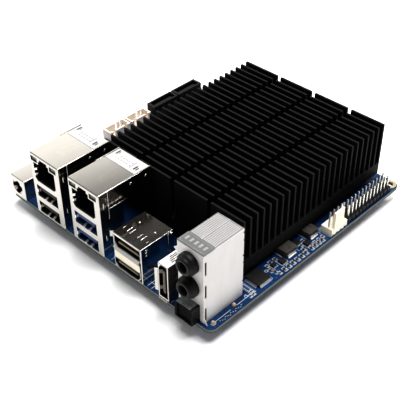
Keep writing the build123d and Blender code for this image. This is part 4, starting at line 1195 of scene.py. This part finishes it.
def scattered_parts():
    """Rows of small capacitors and their outlines, at the deck's back and left and on the underside."""
    deck_areas = [(-57, -28, -36, 57), (-57, 46, 40, 58)]
    under_areas = [(-56, 56, -38, 57)]
    bodies, caps, outlines = [], [], []
    for areas, z, tries in ((deck_areas, DECK, 160), (under_areas, 0, 260)):
        for x, y, wide, tall, count, turned in scattered_rows(areas, z > 0, tries):
            length = wide if turned else tall
            for index in range(count):
                part = (index + 0.5) / count
                place = (x + wide / 2, y + part * tall, z) if turned else (x + part * wide, y + tall / 2, z)
                body, ends = two_ended_part(length, length / 2, length / 2, Vector(place), not turned)
                bodies.append(body)
                caps.append(ends)
            outlines.append(frame_line(Vector((x, y)), Vector((x + wide, y + tall)), 0.45, z, 0.15))
    piece("scattered_capacitors", {"capacitor_ceramic": bodies, "solder": caps, "silkscreen": outlines})


def inductors():
    """Two moulded power inductors with folded metal ends."""
    bodies = [prism(rounded(low.x, high.x, low.y, high.y, 0.7, 4), "xy", low.z, high.z, (), 0.22, 3)
              for low, high in solids("power_inductors")]
    piece("power_inductor_bodies", {"ferrite": bodies}, ["power_inductors"])
    feet = []
    for low, high in solids("inductor_terminals"):
        x, y = ((low + high) / 2).xy
        body = min(middles("power_inductors"), key=lambda point: abs(point.y - y))
        out = 1 if x > body.x else -1
        inner, outer = (low.x, high.x) if out > 0 else (high.x, low.x)
        path = [(outer, 0.1), (inner + out * 0.12, 0.12), (inner + out * 0.1, 1.2)]
        feet.append(ribbon(path, (0, low.z), 0.2, "xz", low.y, high.y))
    piece("power_inductor_feet", {"tin_pin": feet}, ["inductor_terminals"])


surface_chips()
codec()
two_ended("chip_capacitors", "surface_capacitors", "capacitor_ceramic")
two_ended("chip_resistors", "surface_resistors", "chip_epoxy")
scattered_parts()
inductors()


# ---- underside and back edge
dress("memory_socket", "memory_socket_frame", "black_plastic", 0.12)
dress("memory_latch_left", "memory_catch_left", "spring_steel", 0.1, "memory_latch_left")
dress("memory_latch_right", "memory_catch_right", "spring_steel", 0.1, "memory_latch_right")
dress("card_socket", "card_socket_frame", "black_plastic", 0.12)
dress("card_standoff", "card_standoff_post", "brass_standoff", 0.12)
dress("button_housings", "button_cases", "tin_shield", 0.12)
dress("power_button", "power_button_cap", "button_plastic", 0.18, "power_button", 3)
dress("reset_button", "reset_button_cap", "button_plastic", 0.18, "reset_button", 3)


# ---- stage, light and camera
FLOOR_SIZE = 12
LAMP_PLACE = (0.05, 0.13, 0.9)
LAMP_SIZE = 0.6
LAMP_WATTS = 11.0
CAMERA_PLACE = (0.20131, -0.20838, 0.22799)
CAMERA_DEGREES = (51.137, 0.427, 44.228)
FOCAL_LENGTH = 75.63
SENSOR_WIDTH = 36.0


def overhead_lamp():
    """A square softbox above the board, aimed at its middle."""
    data = bpy.data.lights.new("overhead", "AREA")
    data.shape, data.size, data.energy = "SQUARE", LAMP_SIZE, LAMP_WATTS
    obj = bpy.data.objects.new("overhead", data)
    bpy.context.scene.collection.objects.link(obj)
    obj.location = LAMP_PLACE
    obj.rotation_euler = (-Vector(LAMP_PLACE)).to_track_quat("-Z", "Y").to_euler()


def studio_floor():
    """A pale floor, wide enough to fill every view."""
    tree, shader = new_material("studio_floor")
    cloud = add(tree, "TexNoise", {"Scale": 3, "Detail": 2.0}).outputs["Fac"]
    tree.links.new(mixed(tree, cloud, 0.90, 0.92), shader.inputs["Base Color"])
    shader.inputs["Roughness"].default_value = 0.9
    bpy.ops.mesh.primitive_plane_add(size=FLOOR_SIZE, location=(0, 0, cad_low.z))
    floor = bpy.context.object
    floor.name = "studio_floor"
    floor.data.materials.append(paint["studio_floor"])


def studio_world():
    """Dim walls with one bright wall at the back left, all under a dark ceiling."""
    wall_top, wall_fade = 0.565, 0.10
    bright, dim, ceiling = 1.42, 0.42, 0.07
    world = bpy.data.worlds.new("studio")
    bpy.context.scene.world = world
    world.use_nodes = True
    tree = world.node_tree
    direction = add(tree, "TexCoord").outputs["Generated"]
    toward = add(tree, "VectorMath", {0: direction, 1: (-0.74, 0.67, 0)}, operation="DOT_PRODUCT")
    walls = remap(tree, toward.outputs["Value"], 0.2, 0.6, dim, bright)
    slope = add(tree, "VectorMath", {0: direction, 1: (0.113, 0.140, 1)}, operation="DOT_PRODUCT")
    climb = remap(tree, slope.outputs["Value"], wall_top, wall_top + wall_fade, 1, 0)
    glow = maths(tree, "MULTIPLY", maths(tree, "POWER", climb, 2.6), walls)
    strength = maths(tree, "ADD", glow, ceiling)
    background = tree.nodes["Background"]
    background.inputs["Color"].default_value = (1, 0.99, 0.97, 1)
    tree.links.new(strength, background.inputs["Strength"])


def camera():
    """The view from the front right, above the board."""
    data = bpy.data.cameras.new("view")
    data.lens, data.sensor_width = FOCAL_LENGTH, SENSOR_WIDTH
    obj = bpy.data.objects.new("view", data)
    bpy.context.scene.collection.objects.link(obj)
    obj.location = CAMERA_PLACE
    obj.rotation_euler = tuple(math.radians(a) for a in CAMERA_DEGREES)
    bpy.context.scene.camera = obj


studio_floor()
studio_world()
overhead_lamp()
camera()
bpy.context.scene.view_settings.view_transform = "Standard"
bpy.context.scene.view_settings.look = "High Contrast"
